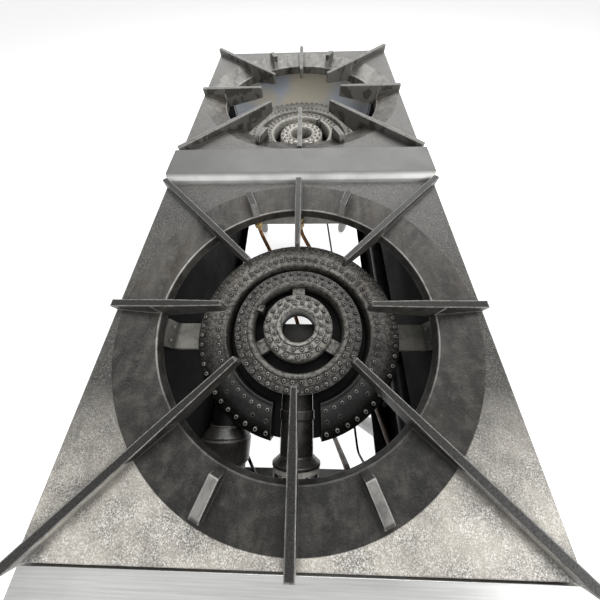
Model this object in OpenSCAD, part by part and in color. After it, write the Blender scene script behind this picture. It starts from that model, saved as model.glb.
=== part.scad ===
// Two-burner stock pot range.
// The origin is on the floor under the middle of the range, +Z is up and the front faces -Y.
// Burners, mixers and grates are drawn about their own burner centre, with z = 0 on the grate plate.

/* [Overall] */
// Width of the range and of its square grates
range_w = 457.2; // [440:1:480]
// Depth of the front ledge
ledge_d = 61.6; // [56:0.1:75]
// Height of the grate plates above the floor
plate_h = 597; // [580:1:640]
// Height of the side panels' lower edge above the floor
body_z = 246; // [225:1:260]
// Distance between the two grates, closed by the bridge
bridge_gap = 87.8; // [86:0.1:92]

/* [Grates] */
// Thickness of the grate plate
plate_t = 7; // [5:0.5:9]
// Depth of the rim that the grate stands on
rim_h = 14; // [12:1:18]
// Thickness of that rim
rim_t = 8; // [6:1:10]
// Radius of the round opening
opening_r = 179; // [175:1:184]
// Radius where the plate starts to dip towards the opening
dish_r = 221; // [217:1:223]
// Depth of the dip at the opening
dish_drop = 12; // [8:1:14]
// Depth of the skirt's lower edge below the plate
skirt_z = 26; // [23:1:30]
// Thickness of the skirt
skirt_t = 6; // [4:1:9]
// Height of the ribs above the plate
rib_rise = 11; // [8:1:14]
// Width of a rib's top
rib_w = 9; // [7:0.5:11]
// Width of a rib's top at its tip
tip_w = 6.5; // [5:0.5:7]
// Widening of each rib flank from the top to the skirt's lower edge
rib_draft = 1.5; // [0.5:0.5:2.5]
// Radius of the rib tips from the burner's centre
tip_r = 91; // [80:1:100]
// Depth of a rib at its tip
tip_depth = 18; // [14:1:22]
// Width of the short lugs
lug_w = 10; // [8:1:12]
// Length of the short lugs
lug_l = 37; // [32:1:40]
// Radius of the lugs' rounded outer end, seen from the side
lug_round = 9; // [6:1:10]

/* [Grate bridge] */
// Width of the bridge, front to back
bridge_w = 82; // [76:1:85]
// Height of the bridge's top above the grate plate
bridge_rise = 12.6; // [11:0.2:15]
// Depth of its bevels, front to back
bevel_y = 8.5; // [5:0.5:11]
// Height of its bevels
bevel_z = 8; // [5:0.5:10]

/* [Sheet metal] */
// Thickness of the panels, rails and flanges
sheet_t = 2; // [1.5:0.1:2.5]
// Width of the folded flanges
flange_w = 22; // [18:1:24]
// Overhang of the grates over the side panels
overhang = 1.6; // [1:0.2:3]
// Depth of the front ledge's lip over the control panel
lip_h = 24; // [18:1:30]
// Drop of the front ledge's top below the grate plate
ledge_drop = 2; // [0:0.5:4]
// Gap between the front ledge and the front grate
ledge_gap = 3; // [2.5:0.5:5]
// Width of the burner rails, front to back
rail_w = 46; // [40:1:50]
// Depth of the burner rails' lips
rail_lip = 12; // [8:1:14]
// Height of the burner rails' end tabs
tab_h = 30; // [24:1:34]
// Depth of the cross rail's lower edge below the plate
cross_z = 150; // [146:1:153]
// Width of the cross rail's lower flange and end tabs
cross_flange = 18; // [14:1:22]

/* [Burners] */
// Depth of the burner crowns below the plate
crown_z = 80; // [76:1:84]
// Height of the burner castings
casting_h = 39; // [37:1:42]
// Wall of the burner castings
cast_t = 5; // [4.5:0.5:5.5]
// Inner radius of the outer ring
outer_r1 = 118; // [116:0.5:119]
// Outer radius of the outer ring
outer_r2 = 163; // [160:1:166]
// Width of the slot across the outer ring
slot_w = 68; // [64:1:72]
// Inner radius of the middle ring
middle_r1 = 75; // [74.5:0.5:76]
// Outer radius of the middle ring
middle_r2 = 104; // [102:0.5:105]
// Radius of the inner ring's bore
bore_r = 28; // [26:0.5:29]
// Outer radius of the inner ring
inner_r2 = 57; // [55:0.5:58]
// Flare of the inner ring's foot
inner_flare = 3.5; // [2:0.5:4]
// Width of the three spokes
spoke_w = 22; // [18:1:26]
// Depth of the spokes' top below the crown
spoke_drop = 12; // [8:1:14]
// Height of the port bosses
boss_h = 3.2; // [2.4:0.2:4]
// Radius of a port boss
boss_r = 3; // [2.4:0.1:3.2]
// Radius of a drilled port
port_r = 1.1; // [0.8:0.1:1.4]
// Ports in a full row of the outer ring
outer_ports = 64; // [56:1:66]
// Ports in each row of the middle ring
middle_ports = 42; // [36:1:44]
// Ports in each row of the inner ring
inner_ports = 18; // [14:1:20]

/* [Mixers] */
// Depth of the mixers' axis below the plate
mixer_z = 118; // [116:1:120]
// Sideways place of the outer ring's mixer
outer_mixer_x = -104; // [-110:1:-100]
// Radius of the mixer necks
neck_r = 24; // [22:0.5:25]
// Radius of the gas passage through the mixers
throat_r = 16; // [13:0.5:17]
// Radius of the outer mixer's band
band_r = 35; // [33:0.5:37]
// Radius of the outer mixer's drum
outer_drum_r = 29; // [27:0.5:31]
// Radius of the inner mixer's drum
inner_drum_r = 31; // [29:0.5:32]
// Length of the drums and their air shutters
drum_l = 30; // [26:1:32]
// Thickness of the air shutters
shutter_t = 1.6; // [1.2:0.2:2]
// Windows round a drum
windows = 4; // [3:1:5]

/* [Gas train] */
// Outer radius of the manifold and supply pipe
pipe_r = 13.35; // [12:0.05:14]
// Bore radius of that pipe
pipe_bore_r = 10.45; // [9:0.05:11]
// Depth of the pipes' axis below the plate
pipe_z = 172; // [168:1:176]
// Distance from the right wall to the supply pipe's middle
supply_gap = 38; // [32:1:44]
// Length of the gas inlet behind the back panel
inlet_l = 30; // [26:1:40]
// Length of the inlet's turned-down end
inlet_end_l = 24; // [18:1:24]
// Distance from the control panel's back to the valves' middle
valve_setback = 28; // [26:1:32]
// Radius of the burner valve bodies
valve_r = 12; // [10:0.5:13]
// Length of the orifice hoods between the valves and the front mixers
hood_l = 17.9; // [14:0.1:19]
// Radius of the valve stems
stem_r = 4; // [3:0.1:5]
// Outer radius of the copper supply tubes
tube_r = 4.76; // [4:0.01:5.5]
// Outer radius of the pilot tubes
pilot_tube_r = 2.4; // [2:0.1:3.2]
// Sideways places of the rear burner's valves
rear_valve_x1 = 75; // [70:1:80]
// Sideways place of the valve at the right
rear_valve_x2 = 146; // [140:1:150]

/* [Knobs] */
// Radius of the knob's skirt
knob_r = 24; // [20:1:27]
// Depth of the knob, front to back
knob_d = 30; // [26:1:34]
// Width of the knob's grip bar
grip_w = 9; // [7:1:12]

/* [Legs and feet] */
// Radius of the leg tubes
leg_r = 20.6; // [18:0.2:21]
// Wall of the leg tubes
leg_t = 1.6; // [1.2:0.1:2.5]
// Width of the leg plates
leg_plate_w = 46; // [44:1:50]
// Length of the leg plates, front to back
leg_plate_l = 190; // [150:1:210]
// Height of the foot below the leg tube at rest
foot_h = 32; // [28:1:38]
// Travel of the levelling feet
foot_travel = 25; // [15:1:30]

/* [Hidden] */
$fn = 48;

// Smoothness of large rings and of small screws
big_fn = 96;
small_fn = 20;
// Sides of a hexagon, for nuts and bolt heads
hex = 6;
// Overrun of every cut
cut = 1;
// Gap between pieces that pass each other
fit = 0.3;
// Radial clearance of a turning fit
run_fit = 0.05;

// Colours
cast_col = "dimgray";
zinc_col = "lightslategray";
black_col = "#26262a";
steel_col = "silver";
copper_col = "peru";
brass_col = "darkgoldenrod";

// The knobs stand out in front and the inlet at the back, and the middle of all that is y = 0
knob_gap = 3;
lip_t = sheet_t;
knob_reach = knob_gap + knob_d - lip_t - fit;
grate_pitch = range_w + bridge_gap;
range_d = ledge_d + ledge_gap + range_w + grate_pitch;
body_y0 = -range_d / 2 + (knob_reach - inlet_l) / 2;
back_y = body_y0 + range_d;
rear_c = back_y - range_w / 2;
front_c = rear_c - grate_pitch;
ledge_y1 = front_c - range_w / 2 - ledge_gap;
panel_y = body_y0 + lip_t + fit;
panel_in = panel_y + sheet_t;
deck_z = plate_h - rim_h;
side_x = range_w / 2 - overhang;
inner_x = side_x - sheet_t;

// Grate ribs
rib_end_r = rib_w / 2 + rib_draft;
corner_r = range_w / 2 * sqrt(2);
fade = 3;
lug_step = 22.5;
lug_inset = 1;
root_z = skirt_z - 3;

// Burner lands, measured in from each ring's edges
land_step = boss_h;
land_w = 12;
edge_drop = 2.5;
row_in = 11.5;
row_out = 7.2;
outer_row1 = outer_r1 + row_in;
outer_row2 = outer_r2 - row_out;
middle_crown_w = 7;
middle_row1 = middle_r1 + middle_crown_w + boss_r * 1.7;
middle_row2 = middle_r2 - boss_r * 1.75;
inner_crown_w = 6;
lip_steps = 5;
crown_steps = 10;
inner_row1 = bore_r + inner_crown_w + boss_r * 1.9;
inner_row2 = inner_r2 - boss_r * 2.1;

// Mixers
collar_t = 1.8;
collar_l = neck_r / 2;
neck_rise = 2;
neck_root = 12;
outer_neck_end = sqrt(pow(outer_r2, 2) - pow(-outer_mixer_x - neck_r - collar_t, 2)) + neck_rise;
outer_neck_root = sqrt(pow(outer_r2, 2) - pow(-outer_mixer_x + neck_r, 2)) - neck_root;
inner_neck_end = middle_r2 + 10.5 * neck_rise;
inner_neck_root = middle_r2 - 2.2 * neck_root;
throat_share = 0.74;
band_l = 30;
drum_t = 3;
drum_cap_t = 3;
window_share = 0.5;
shutter_range = 360 / windows / 2;
hood_hole_r = 11;
flare_l = 8;

// Gas train
valve_y = panel_in + valve_setback;
valve_l = 30;
bonnet_l = 6;
stem_bore_l = 22;
leg_pipe_r = 8;
spigot_r = 6;
spigot_l = 2;
outlet_l = 8;
outlet_r = 8.5;
hood_r = 8;
hood_tip_r = 5.5;
hood_entry = 2;
jet_r = 1.2;
nut_r = 9.5;
nut_l = 13;
pilot_nut_r = 5.5;
pilot_nut_l = 10;
elbow_r = 8;
hex_t = 3;
supply_x = inner_x - supply_gap;
mixer_reach = front_c - (valve_y + valve_l / 2 + outlet_l + hood_l - hood_entry);
cross_gap = 38;
rail_web_y = rear_c - mixer_reach - cross_gap;
elbow_y = rail_web_y - elbow_r - hex_t;
elbow_drop = 14;
front_pilot_x = (outer_mixer_x + 0) / 2 + 2;
rear_pilot_x = (rear_valve_x1 + rear_valve_x2) / 2;
pilot_body_r = 7;
pilot_setback = 24;
pilot_screw_r = 3;
elbow_body_r = pipe_r + 4.5;

// Pilots: place about the burner's centre and depth of their tip below the plate
pilot_r = (inner_r2 + inner_flare + middle_r1) / 2;
front_pilot_a = 156;
rear_pilot_a = 42;
pilot_cup_r = 5;
pilot_tip_z = crown_z - 3;
pilot_base_z = crown_z + 22;

// Screws and bolts
screw_r = 2.5;
screw_head_r = 4.8;
screw_head_t = 2.4;
screw_end = 4;
nut_end = 2;
bolt_r = 4;
bolt_head_r = 7.5;
bolt_head_t = 5;
burner_bolt_r = 3;
burner_bolt_depth = 3.5;

// Legs
leg_top_t = 5;
bolt_room = 2.5;
leg_x = side_x - leg_plate_w / 2;
leg_in_y = leg_plate_l / 2;
foot_stem_r = 8;
foot_stem_l = 60;
leg_plug_t = 12;

function unit(v) = v / norm(v);

// Places that are shared by several pieces
function about(y, p) = [p[0], y + p[1], plate_h + p[2]];
function ring_place(r, a) = [r * cos(a), r * sin(a)];

module at_burner(y) {
    translate([0, y, plate_h]) children();
}

module ring_copies(n, start = 0, step = 0) {
    for (i = [0 : n - 1]) {
        rotate(start + i * (step == 0 ? 360 / n : step)) children();
    }
}

// A cylinder that lies along Y, from y to y + l
module rod_y(x, y, z, r, l, sides = 0) {
    translate([x, y, z]) rotate([-90, 0, 0]) cylinder(h = l, r = r, $fn = sides == 0 ? $fn : sides);
}

module rod_x(x, y, z, r, l, sides = 0) {
    translate([x, y, z]) rotate([0, 90, 0]) cylinder(h = l, r = r, $fn = sides == 0 ? $fn : sides);
}

// A flat outline in X and Z, carried along Y
module along_y(y0, y1) {
    translate([0, y1, 0]) rotate([90, 0, 0]) linear_extrude(y1 - y0) children();
}

// A flat outline in Y and Z, carried along X
module along_x(x0, x1) {
    translate([x0, 0, 0]) rotate([90, 0, 90]) linear_extrude(x1 - x0) children();
}

module box_from(p, q) {
    translate(p) cube(q - p);
}

// Points of a route with its corners rounded to one bend radius
function bend_points(p, u, v, bend, steps) =
    let (turn = acos(max(-1, min(1, u * v))), trim = bend * tan(turn / 2),
         inward = unit(cross(cross(u, v), u)), centre = p - u * trim + inward * bend)
    [for (k = [0 : steps]) let (a = turn * k / steps) centre - inward * bend * cos(a) + u * bend * sin(a)];
function route(pts, bend, steps = 5) =
    let (n = len(pts), dirs = [for (i = [0 : n - 2]) unit(pts[i + 1] - pts[i])])
    concat([pts[0]],
           [for (i = [1 : n - 2]) each bend_points(pts[i], dirs[i - 1], dirs[i], bend, steps)],
           [pts[n - 1]]);
function tangents(path) =
    let (n = len(path))
    [for (i = [0 : n - 1]) unit(path[min(i + 1, n - 1)] - path[max(i - 1, 0)])];
function carried(t, i, normal) =
    i == len(t) ? [] :
    let (m = unit(normal - t[i] * (normal * t[i])))
    concat([m], carried(t, i + 1, m));
function any_normal(t) = unit(cross(t, abs(t[2]) < 0.9 ? [0, 0, 1] : [1, 0, 0]));

// A round tube along a route, made as one closed skin
module tube_along(pts, r, bend, sides = 10) {
    path = route(pts, bend);
    t = tangents(path);
    m = carried(t, 0, any_normal(t[0]));
    n = len(path);
    ring = [for (i = [0 : n - 1]) for (k = [0 : sides - 1])
        let (a = 360 * k / sides) path[i] + r * (m[i] * cos(a) + cross(t[i], m[i]) * sin(a))];
    walls = [for (i = [0 : n - 2]) for (k = [0 : sides - 1])
        let (k2 = (k + 1) % sides, a = i * sides + k, b = i * sides + k2)
        each [[a, a + sides, b + sides], [a, b + sides, b]]];
    first = [for (k = [0 : sides - 1]) k];
    last = [for (k = [0 : sides - 1]) n * sides - 1 - k];
    polyhedron(points = ring, faces = concat(walls, [first], [last]));
}

// Grates

// Side view of a long rib, from its finger tip out to the plate's edge. Its foot lies inside the plate.
module rib_side(r_out) {
    root_r = opening_r + skirt_t / 2;
    polygon([
        [tip_r + tip_w / 4, rib_rise], [r_out, rib_rise], [r_out, -plate_t / 2],
        [dish_r, -plate_t / 2], [root_r, -dish_drop - plate_t / 2], [root_r, -root_z],
        [tip_r, rib_rise - tip_depth], [tip_r, rib_rise - tip_w / 4]
    ]);
}

// Outline of a rib seen from above: a blunt tip, tapered flanks and a square or a rounded end
function rib_end(r_out, round) =
    round == 0 ? [[r_out, -rib_end_r], [r_out, rib_end_r]] :
    [for (a = [-90 : 22.5 : 90]) [r_out - round + round * cos(a), rib_end_r * sin(a)]];
function rib_plan(r_out, round) = concat(
    [[tip_r - cut, cut - tip_w / 4], [tip_r + tip_w / 4, -tip_w / 2]],
    rib_end(r_out, round),
    [[tip_r + tip_w / 4, tip_w / 2], [tip_r - cut, tip_w / 4 - cut]]);

// Cross section of a rib, carried a little past its top and bottom
module rib_section() {
    half = rib_w / 2;
    slope = rib_draft / (skirt_z + rib_rise) * cut;
    polygon([
        [-half + slope, rib_rise + cut], [half - slope, rib_rise + cut],
        [half + rib_draft + slope, -skirt_z - cut], [-half - rib_draft - slope, -skirt_z - cut]
    ]);
}

module rib(r_out, round) {
    intersection() {
        along_y(-rib_w, rib_w) rib_side(r_out + cut);
        along_x(tip_r - 2 * cut, r_out + 2 * cut) rib_section();
        translate([0, 0, -skirt_z - 2 * cut]) linear_extrude(skirt_z + rib_rise + 4 * cut)
            polygon(rib_plan(r_out, round));
    }
}

// A lug stands on the dish at the opening's edge and rounds down to the plate at its outer end
module lug() {
    r_in = opening_r + lug_inset;
    r_end = opening_r + lug_l;
    nose = [for (a = [90 : -15 : 0])
        [r_end - lug_round + lug_round * cos(a), rib_rise - lug_round + lug_round * sin(a)]];
    along_y(-lug_w / 2, lug_w / 2) polygon(concat(
        [[r_in, -dish_drop - plate_t / 2], [r_in, rib_rise]], nose, [[r_end, -plate_t / 2 - dish_drop / 6]]));
}

module grate() {
    translate([0, 0, -plate_t]) linear_extrude(plate_t) difference() {
        square(range_w, center = true);
        circle(r = dish_r, $fn = big_fn);
    }
    translate([0, 0, -rim_h]) linear_extrude(rim_h - plate_t / 2) difference() {
        square(range_w, center = true);
        square(range_w - 2 * rim_t, center = true);
    }
    rotate_extrude($fn = big_fn) polygon([
        [dish_r + fade, 0], [dish_r, 0], [opening_r, -dish_drop], [opening_r, -skirt_z],
        [opening_r + skirt_t, -skirt_z], [opening_r + skirt_t, -dish_drop - plate_t],
        [dish_r, -plate_t], [dish_r + fade, -plate_t]
    ]);
    ring_copies(4) rib(range_w / 2, 0);
    ring_copies(4, 45) rib(corner_r, rib_end_r);
    for (side = [90, -90]) {
        for (turn = [-lug_step, lug_step]) {
            rotate(side + turn) lug();
        }
    }
}

module front_grate() {
    color(cast_col) at_burner(front_c) grate();
}

module rear_grate() {
    color(cast_col) at_burner(rear_c) grate();
}

// The bridge is a folded strip that stands on the side panels' flanges between the grates
module grate_bridge() {
    half = bridge_w / 2;
    top = rim_h + bridge_rise;
    fold = sheet_t / 2;
    color(steel_col) translate([0, (front_c + rear_c) / 2, deck_z])
    along_x(-range_w / 2, range_w / 2) difference() {
        polygon([
            [-half, 0], [-half, top - bevel_z], [-half + bevel_y, top],
            [half - bevel_y, top], [half, top - bevel_z], [half, 0]
        ]);
        polygon([
            [-half + sheet_t, -cut], [-half + sheet_t, top - bevel_z - fold],
            [-half + bevel_y + fold, top - sheet_t], [half - bevel_y - fold, top - sheet_t],
            [half - sheet_t, top - bevel_z - fold], [half - sheet_t, -cut]
        ]);
    }
}

// Body

tab_ys = [-rail_w / 4, rail_w / 4];
burner_rail_y = -10;
cross_screw_zs = [cross_z * 5 / 6, cross_z * 0.43];
tab_screw_z = crown_z + casting_h - tab_h / 2;

// Places of the holes through a side panel: [y, z]
side_holes = concat(
    [for (c = [front_c, rear_c]) for (y = tab_ys) [c + burner_rail_y + y, plate_h - tab_screw_z]],
    [for (z = cross_screw_zs) [rail_web_y + cross_flange / 2 + sheet_t, plate_h - z]]
);

// Leg plates: middle of each along Y
leg_ys = [panel_in + leg_in_y, back_y - leg_in_y];
leg_bolt_x = side_x - flange_w / 2;
leg_bolt_dy = leg_plate_l / 2 - flange_w - bolt_head_r - bolt_room;

module right_side() {
    difference() {
        along_y(panel_in, back_y) polygon([
            [side_x, body_z], [side_x, deck_z], [side_x - flange_w, deck_z],
            [side_x - flange_w, deck_z - sheet_t], [inner_x, deck_z - sheet_t],
            [inner_x, body_z + sheet_t], [side_x - flange_w, body_z + sheet_t],
            [side_x - flange_w, body_z]
        ]);
        for (p = side_holes) {
            rod_x(inner_x - cut, p[0], p[1], screw_r + fit, sheet_t + 2 * cut, small_fn);
        }
        for (y = leg_ys) for (dy = [-leg_bolt_dy, leg_bolt_dy]) {
            translate([leg_bolt_x, y + dy, body_z - cut])
                cylinder(h = sheet_t + 2 * cut, r = bolt_r + fit, $fn = small_fn);
        }
    }
}

module right_side_panel() {
    color(zinc_col) right_side();
}

module left_side_panel() {
    color(zinc_col) mirror([1, 0, 0]) right_side();
}

back_screw_xs = [-inner_x * 0.7, 0, inner_x * 0.7];

module back_panel() {
    half = inner_x - fit;
    flange_half = side_x - flange_w - fit;
    color(zinc_col) difference() {
        union() {
            box_from([-half, back_y - sheet_t, body_z + sheet_t + fit], [half, back_y, deck_z - sheet_t - fit]);
            box_from([-flange_half, back_y - sheet_t, body_z], [flange_half, back_y, deck_z]);
            box_from([-flange_half, back_y - flange_w, deck_z - sheet_t],
                     [flange_half, back_y, deck_z]);
            box_from([-flange_half, back_y - flange_w, body_z],
                     [flange_half, back_y, body_z + sheet_t]);
            for (s = [-1, 1]) {
                box_from([s > 0 ? half - sheet_t : -half, back_y - flange_w, body_z + sheet_t + fit],
                         [s > 0 ? half : -half + sheet_t, back_y, deck_z - sheet_t - fit]);
            }
        }
        rod_y(supply_x, back_y - sheet_t - cut, plate_h - pipe_z, pipe_r + 3 * fit, sheet_t + 2 * cut);
    }
}

knob_hole_r = 2 * stem_r + 1;
access_hole_r = pilot_screw_r * 1.6;
valve_xs = [outer_mixer_x, 0, rear_valve_x1, rear_valve_x2];
pilot_xs = [front_pilot_x, rear_pilot_x];
valve_z = plate_h - mixer_z;

module control_panel() {
    flange_half = side_x - flange_w - fit;
    color(steel_col) difference() {
        union() {
            box_from([-side_x, panel_y, body_z], [side_x, panel_in, deck_z]);
            box_from([-flange_half, panel_y, body_z],
                     [flange_half, panel_in + flange_w, body_z + sheet_t]);
        }
        for (x = valve_xs) {
            rod_y(x, panel_y - cut, valve_z, knob_hole_r, sheet_t + 2 * cut);
        }
        for (x = pilot_xs) {
            rod_y(x, panel_y - cut, valve_z, access_hole_r, sheet_t + 2 * cut, small_fn);
        }
        for (x = ledge_screw_xs) {
            rod_y(x, panel_y - cut, deck_z - lip_h / 2, screw_r + fit, sheet_t + 2 * cut, small_fn);
        }
    }
}

ledge_screw_xs = [-side_x * 0.75, 0, side_x * 0.75];
nose_r = 8;

// Outline of the front ledge, or of the hollow inside it when inset by the sheet's thickness
module ledge_outline(inset, overrun) {
    top = plate_h - ledge_drop;
    lip_z = deck_z - lip_h - overrun;
    r = nose_r - inset;
    nose = [for (a = [180 : -15 : 90]) [body_y0 + nose_r + r * cos(a), top - nose_r + r * sin(a)]];
    polygon(concat(
        [[body_y0 + inset, lip_z]], nose,
        [[ledge_y1 - inset, top - inset], [ledge_y1 - inset, deck_z - overrun],
         [body_y0 + nose_r, deck_z - overrun], [body_y0 + nose_r, lip_z]]));
}

// The ledge is folded from one sheet: a lip over the panel, a rounded nose, the top, a rear leg and ends
module front_ledge() {
    color(steel_col) difference() {
        union() {
            along_x(-side_x, side_x) difference() {
                ledge_outline(0, 0);
                ledge_outline(sheet_t, cut);
                translate([body_y0 + sheet_t, deck_z - lip_h - cut]) square([nose_r, lip_h]);
            }
            for (s = [-1, 1]) {
                box_from([s > 0 ? side_x - sheet_t : -side_x, body_y0 + nose_r, deck_z],
                         [s > 0 ? side_x : -side_x + sheet_t, ledge_y1, plate_h - ledge_drop]);
            }
        }
        for (x = ledge_screw_xs) {
            rod_y(x, body_y0 - cut, deck_z - lip_h / 2, screw_r + fit, sheet_t + 2 * cut, small_fn);
        }
    }
}

// The cross rail hangs under the bridge, and its web carries the rear burner's orifice elbows
module centre_cross_rail() {
    half = inner_x - fit;
    strip_top = deck_z - sheet_t;
    strip_y0 = front_c + range_w / 2 - 1.5 * rim_t;
    strip_y1 = rear_c - range_w / 2 + 1.5 * rim_t;
    web_z = plate_h - cross_z;
    color(zinc_col) difference() {
        union() {
            box_from([-half, strip_y0, strip_top - sheet_t], [half, strip_y1, strip_top]);
            box_from([-half, rail_web_y, web_z], [half, rail_web_y + sheet_t, strip_top]);
            box_from([-half, rail_web_y, web_z], [half, rail_web_y + cross_flange, web_z + sheet_t]);
            for (s = [-1, 1]) {
                box_from([s > 0 ? half - sheet_t : -half, rail_web_y, web_z],
                         [s > 0 ? half : -half + sheet_t, rail_web_y + cross_flange + sheet_t, strip_top]);
            }
        }
        for (x = [outer_mixer_x, 0]) {
            rod_y(x, rail_web_y - cut, valve_z, elbow_r + fit, sheet_t + 2 * cut);
        }
        for (z = cross_screw_zs) {
            rod_x(-side_x, rail_web_y + cross_flange / 2 + sheet_t, plate_h - z, screw_r + fit, 2 * side_x,
                  small_fn);
        }
    }
}

burner_bolt_xs = [(outer_r1 + outer_r2) / 2, (middle_r1 + middle_r2) / 2];

// A wide channel with down-turned lips and up-turned end tabs
module burner_rail() {
    half = inner_x - fit;
    top = -crown_z - casting_h;
    y0 = burner_rail_y - rail_w / 2;
    y1 = burner_rail_y + rail_w / 2;
    difference() {
        union() {
            box_from([-half, y0, top - sheet_t], [half, y1, top]);
            box_from([-half, y0, top - rail_lip], [half, y0 + sheet_t, top]);
            box_from([-half, y1 - sheet_t, top - rail_lip], [half, y1, top]);
            for (s = [-1, 1]) {
                box_from([s > 0 ? half - sheet_t : -half, y0, top - sheet_t],
                         [s > 0 ? half : -half + sheet_t, y1, top + tab_h]);
            }
        }
        for (x = burner_bolt_xs) for (s = [-1, 1]) {
            translate([s * x, burner_rail_y, top - sheet_t - cut])
                cylinder(h = sheet_t + 2 * cut, r = burner_bolt_r + fit, $fn = small_fn);
        }
        for (y = tab_ys) {
            rod_x(-side_x, burner_rail_y + y, -tab_screw_z, screw_r + fit, 2 * side_x, small_fn);
        }
    }
}

module front_burner_rail() {
    color(zinc_col) at_burner(front_c) burner_rail();
}

module rear_burner_rail() {
    color(zinc_col) at_burner(rear_c) burner_rail();
}

// Burner castings. Every port stands on a flat land and is drilled through to the gas chamber.

module port_row(r, n, start, step, size) {
    ring_copies(n, start, step) translate([r, 0]) circle(r = size, $fn = 16);
}

module drill_ports(floor_z) {
    translate([0, 0, floor_z]) linear_extrude(casting_h) children();
}

// Half angle of the slot, with half a port's pitch of plain wall left beside it
outer_step = 360 / outer_ports;
slot_a = asin((slot_w / 2 + 2.2 * boss_r) / outer_row1);
slot_a2 = asin((slot_w / 2 + 2.2 * boss_r) / outer_row2);
row1_n = floor((360 - 2 * slot_a) / outer_step) + 1;
row2_n = floor((360 - 2 * slot_a2) / outer_step) + 1;
row1_step = (360 - 2 * slot_a) / (row1_n - 1);
row2_step = (360 - 2 * slot_a2) / (row2_n - 1);
mid_row_r = (outer_row1 + outer_row2) / 2;
mid_row_a = [17, 25, 45];

module outer_ports_2d(size) {
    port_row(outer_row1, row1_n, -90 + slot_a, row1_step, size);
    port_row(outer_row2, row2_n, -90 + slot_a2, row2_step, size);
}

// Extra ports on the crown beside the slot
module crown_ports_2d(size) {
    for (a = mid_row_a) for (s = [-1, 1]) {
        rotate(-90 + s * a) translate([mid_row_r, 0]) circle(r = size, $fn = 16);
    }
}

// Quarter round of a ring's inner lip, from its bore up to its top
function lip_arc(x, z, r) = [for (i = [0 : lip_steps]) let (a = 180 - 90 * i / lip_steps)
    [x + r + r * cos(a), z - r + r * sin(a)]];

// The crown swells gently between a land at the bore and the outer edge
module outer_section() {
    crown_r0 = outer_r1 + land_w / 2;
    crown_w = outer_r2 - edge_drop - crown_r0;
    crown = [for (i = [1 : crown_steps - 1]) let (k = i / crown_steps)
        [crown_r0 + crown_w * k, -land_step * (1 - sin(180 * k))]];
    polygon(concat([[outer_r1, -casting_h]], lip_arc(outer_r1, -land_step, edge_drop), [
        [crown_r0, -land_step]], crown, [
        [outer_r2 - edge_drop, -land_step], [outer_r2, -land_step - edge_drop], [outer_r2, -casting_h]
    ]));
}

module chamber_section(r1, r2, drop) {
    translate([r1 + cast_t, -casting_h + cast_t])
        square([r2 - r1 - 2 * cast_t, casting_h - 2 * cast_t - drop]);
}

// A flange at the foot of the outer ring reaches in to the middle ring and across the slot, clear of the neck
module outer_flange() {
    gap = neck_r + fit;
    collar_gap = gap + collar_t;
    translate([0, 0, -casting_h]) linear_extrude(cast_t) difference() {
        union() {
            circle(r = outer_r1 + cast_t / 2, $fn = big_fn);
            intersection() {
                circle(r = outer_r2, $fn = big_fn);
                translate([-(slot_w + cast_t) / 2, -outer_r2]) square([slot_w + cast_t, outer_r2]);
            }
        }
        circle(r = middle_r2 + fit, $fn = big_fn);
        translate([-gap, -outer_r2 - cut]) square([2 * gap, outer_r2]);
        translate([-collar_gap, -inner_neck_end - collar_l - fit]) square([2 * collar_gap, collar_l + 2 * fit]);
    }
}

// The outer ring is open towards the front, and a wall closes each of its ends
module outer_burner() {
    chamber_top = -land_step - cast_t;
    translate([0, 0, -crown_z]) difference() {
        union() {
            difference() {
                rotate_extrude($fn = big_fn) outer_section();
                translate([-slot_w / 2, -outer_r2 - cut, -casting_h - cut])
                    cube([slot_w, outer_r2 - outer_r1 / 2, casting_h + 2 * cut]);
            }
            translate([0, 0, -land_step - cut]) linear_extrude(boss_h + cut) outer_ports_2d(boss_r);
            linear_extrude(boss_h / 4) crown_ports_2d(boss_r);
            outer_neck();
            outer_flange();
        }
        difference() {
            rotate_extrude($fn = big_fn) chamber_section(outer_r1, outer_r2, land_step);
            translate([-slot_w / 2 - cast_t, -outer_r2 - cut, -casting_h - cut])
                cube([slot_w + 2 * cast_t, outer_r2, casting_h + 2 * cut]);
        }
        translate([0, 0, chamber_top - cut]) linear_extrude(cast_t + land_step + 3 * cut) {
            outer_ports_2d(port_r);
            crown_ports_2d(port_r);
        }
        rod_y(outer_mixer_x, -outer_neck_end - cut, crown_z - mixer_z, throat_r,
              (outer_neck_end - outer_neck_root) * throat_share);
        for (s = [-1, 1]) {
            translate([s * burner_bolt_xs[0], burner_rail_y, -casting_h - cut])
                cylinder(h = burner_bolt_depth + cut, r = burner_bolt_r + run_fit, $fn = small_fn);
        }
    }
}

module outer_neck() {
    rod_y(outer_mixer_x, -outer_neck_end, crown_z - mixer_z, neck_r, outer_neck_end - outer_neck_root);
}

module front_outer_burner() {
    color(cast_col) at_burner(front_c) outer_burner();
}

module rear_outer_burner() {
    color(cast_col) at_burner(rear_c) outer_burner();
}

middle_lip_r = middle_crown_w * 0.7;
inner_lip_r = inner_crown_w * 0.95;
middle_land = middle_r1 + middle_crown_w;
middle_split = (middle_row1 + middle_row2) / 2;
inner_land = bore_r + inner_crown_w;
inner_split = (inner_row1 + inner_row2) / 2;
row_step_z = 1.4;

module middle_section() {
    polygon(concat([[middle_r1, -casting_h]], lip_arc(middle_r1, 0, middle_lip_r), [
        [middle_land, 0], [middle_land, -land_step + row_step_z], [middle_split, -land_step + row_step_z],
        [middle_split, -land_step], [middle_r2, -land_step], [middle_r2, -casting_h]
    ]));
}

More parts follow.
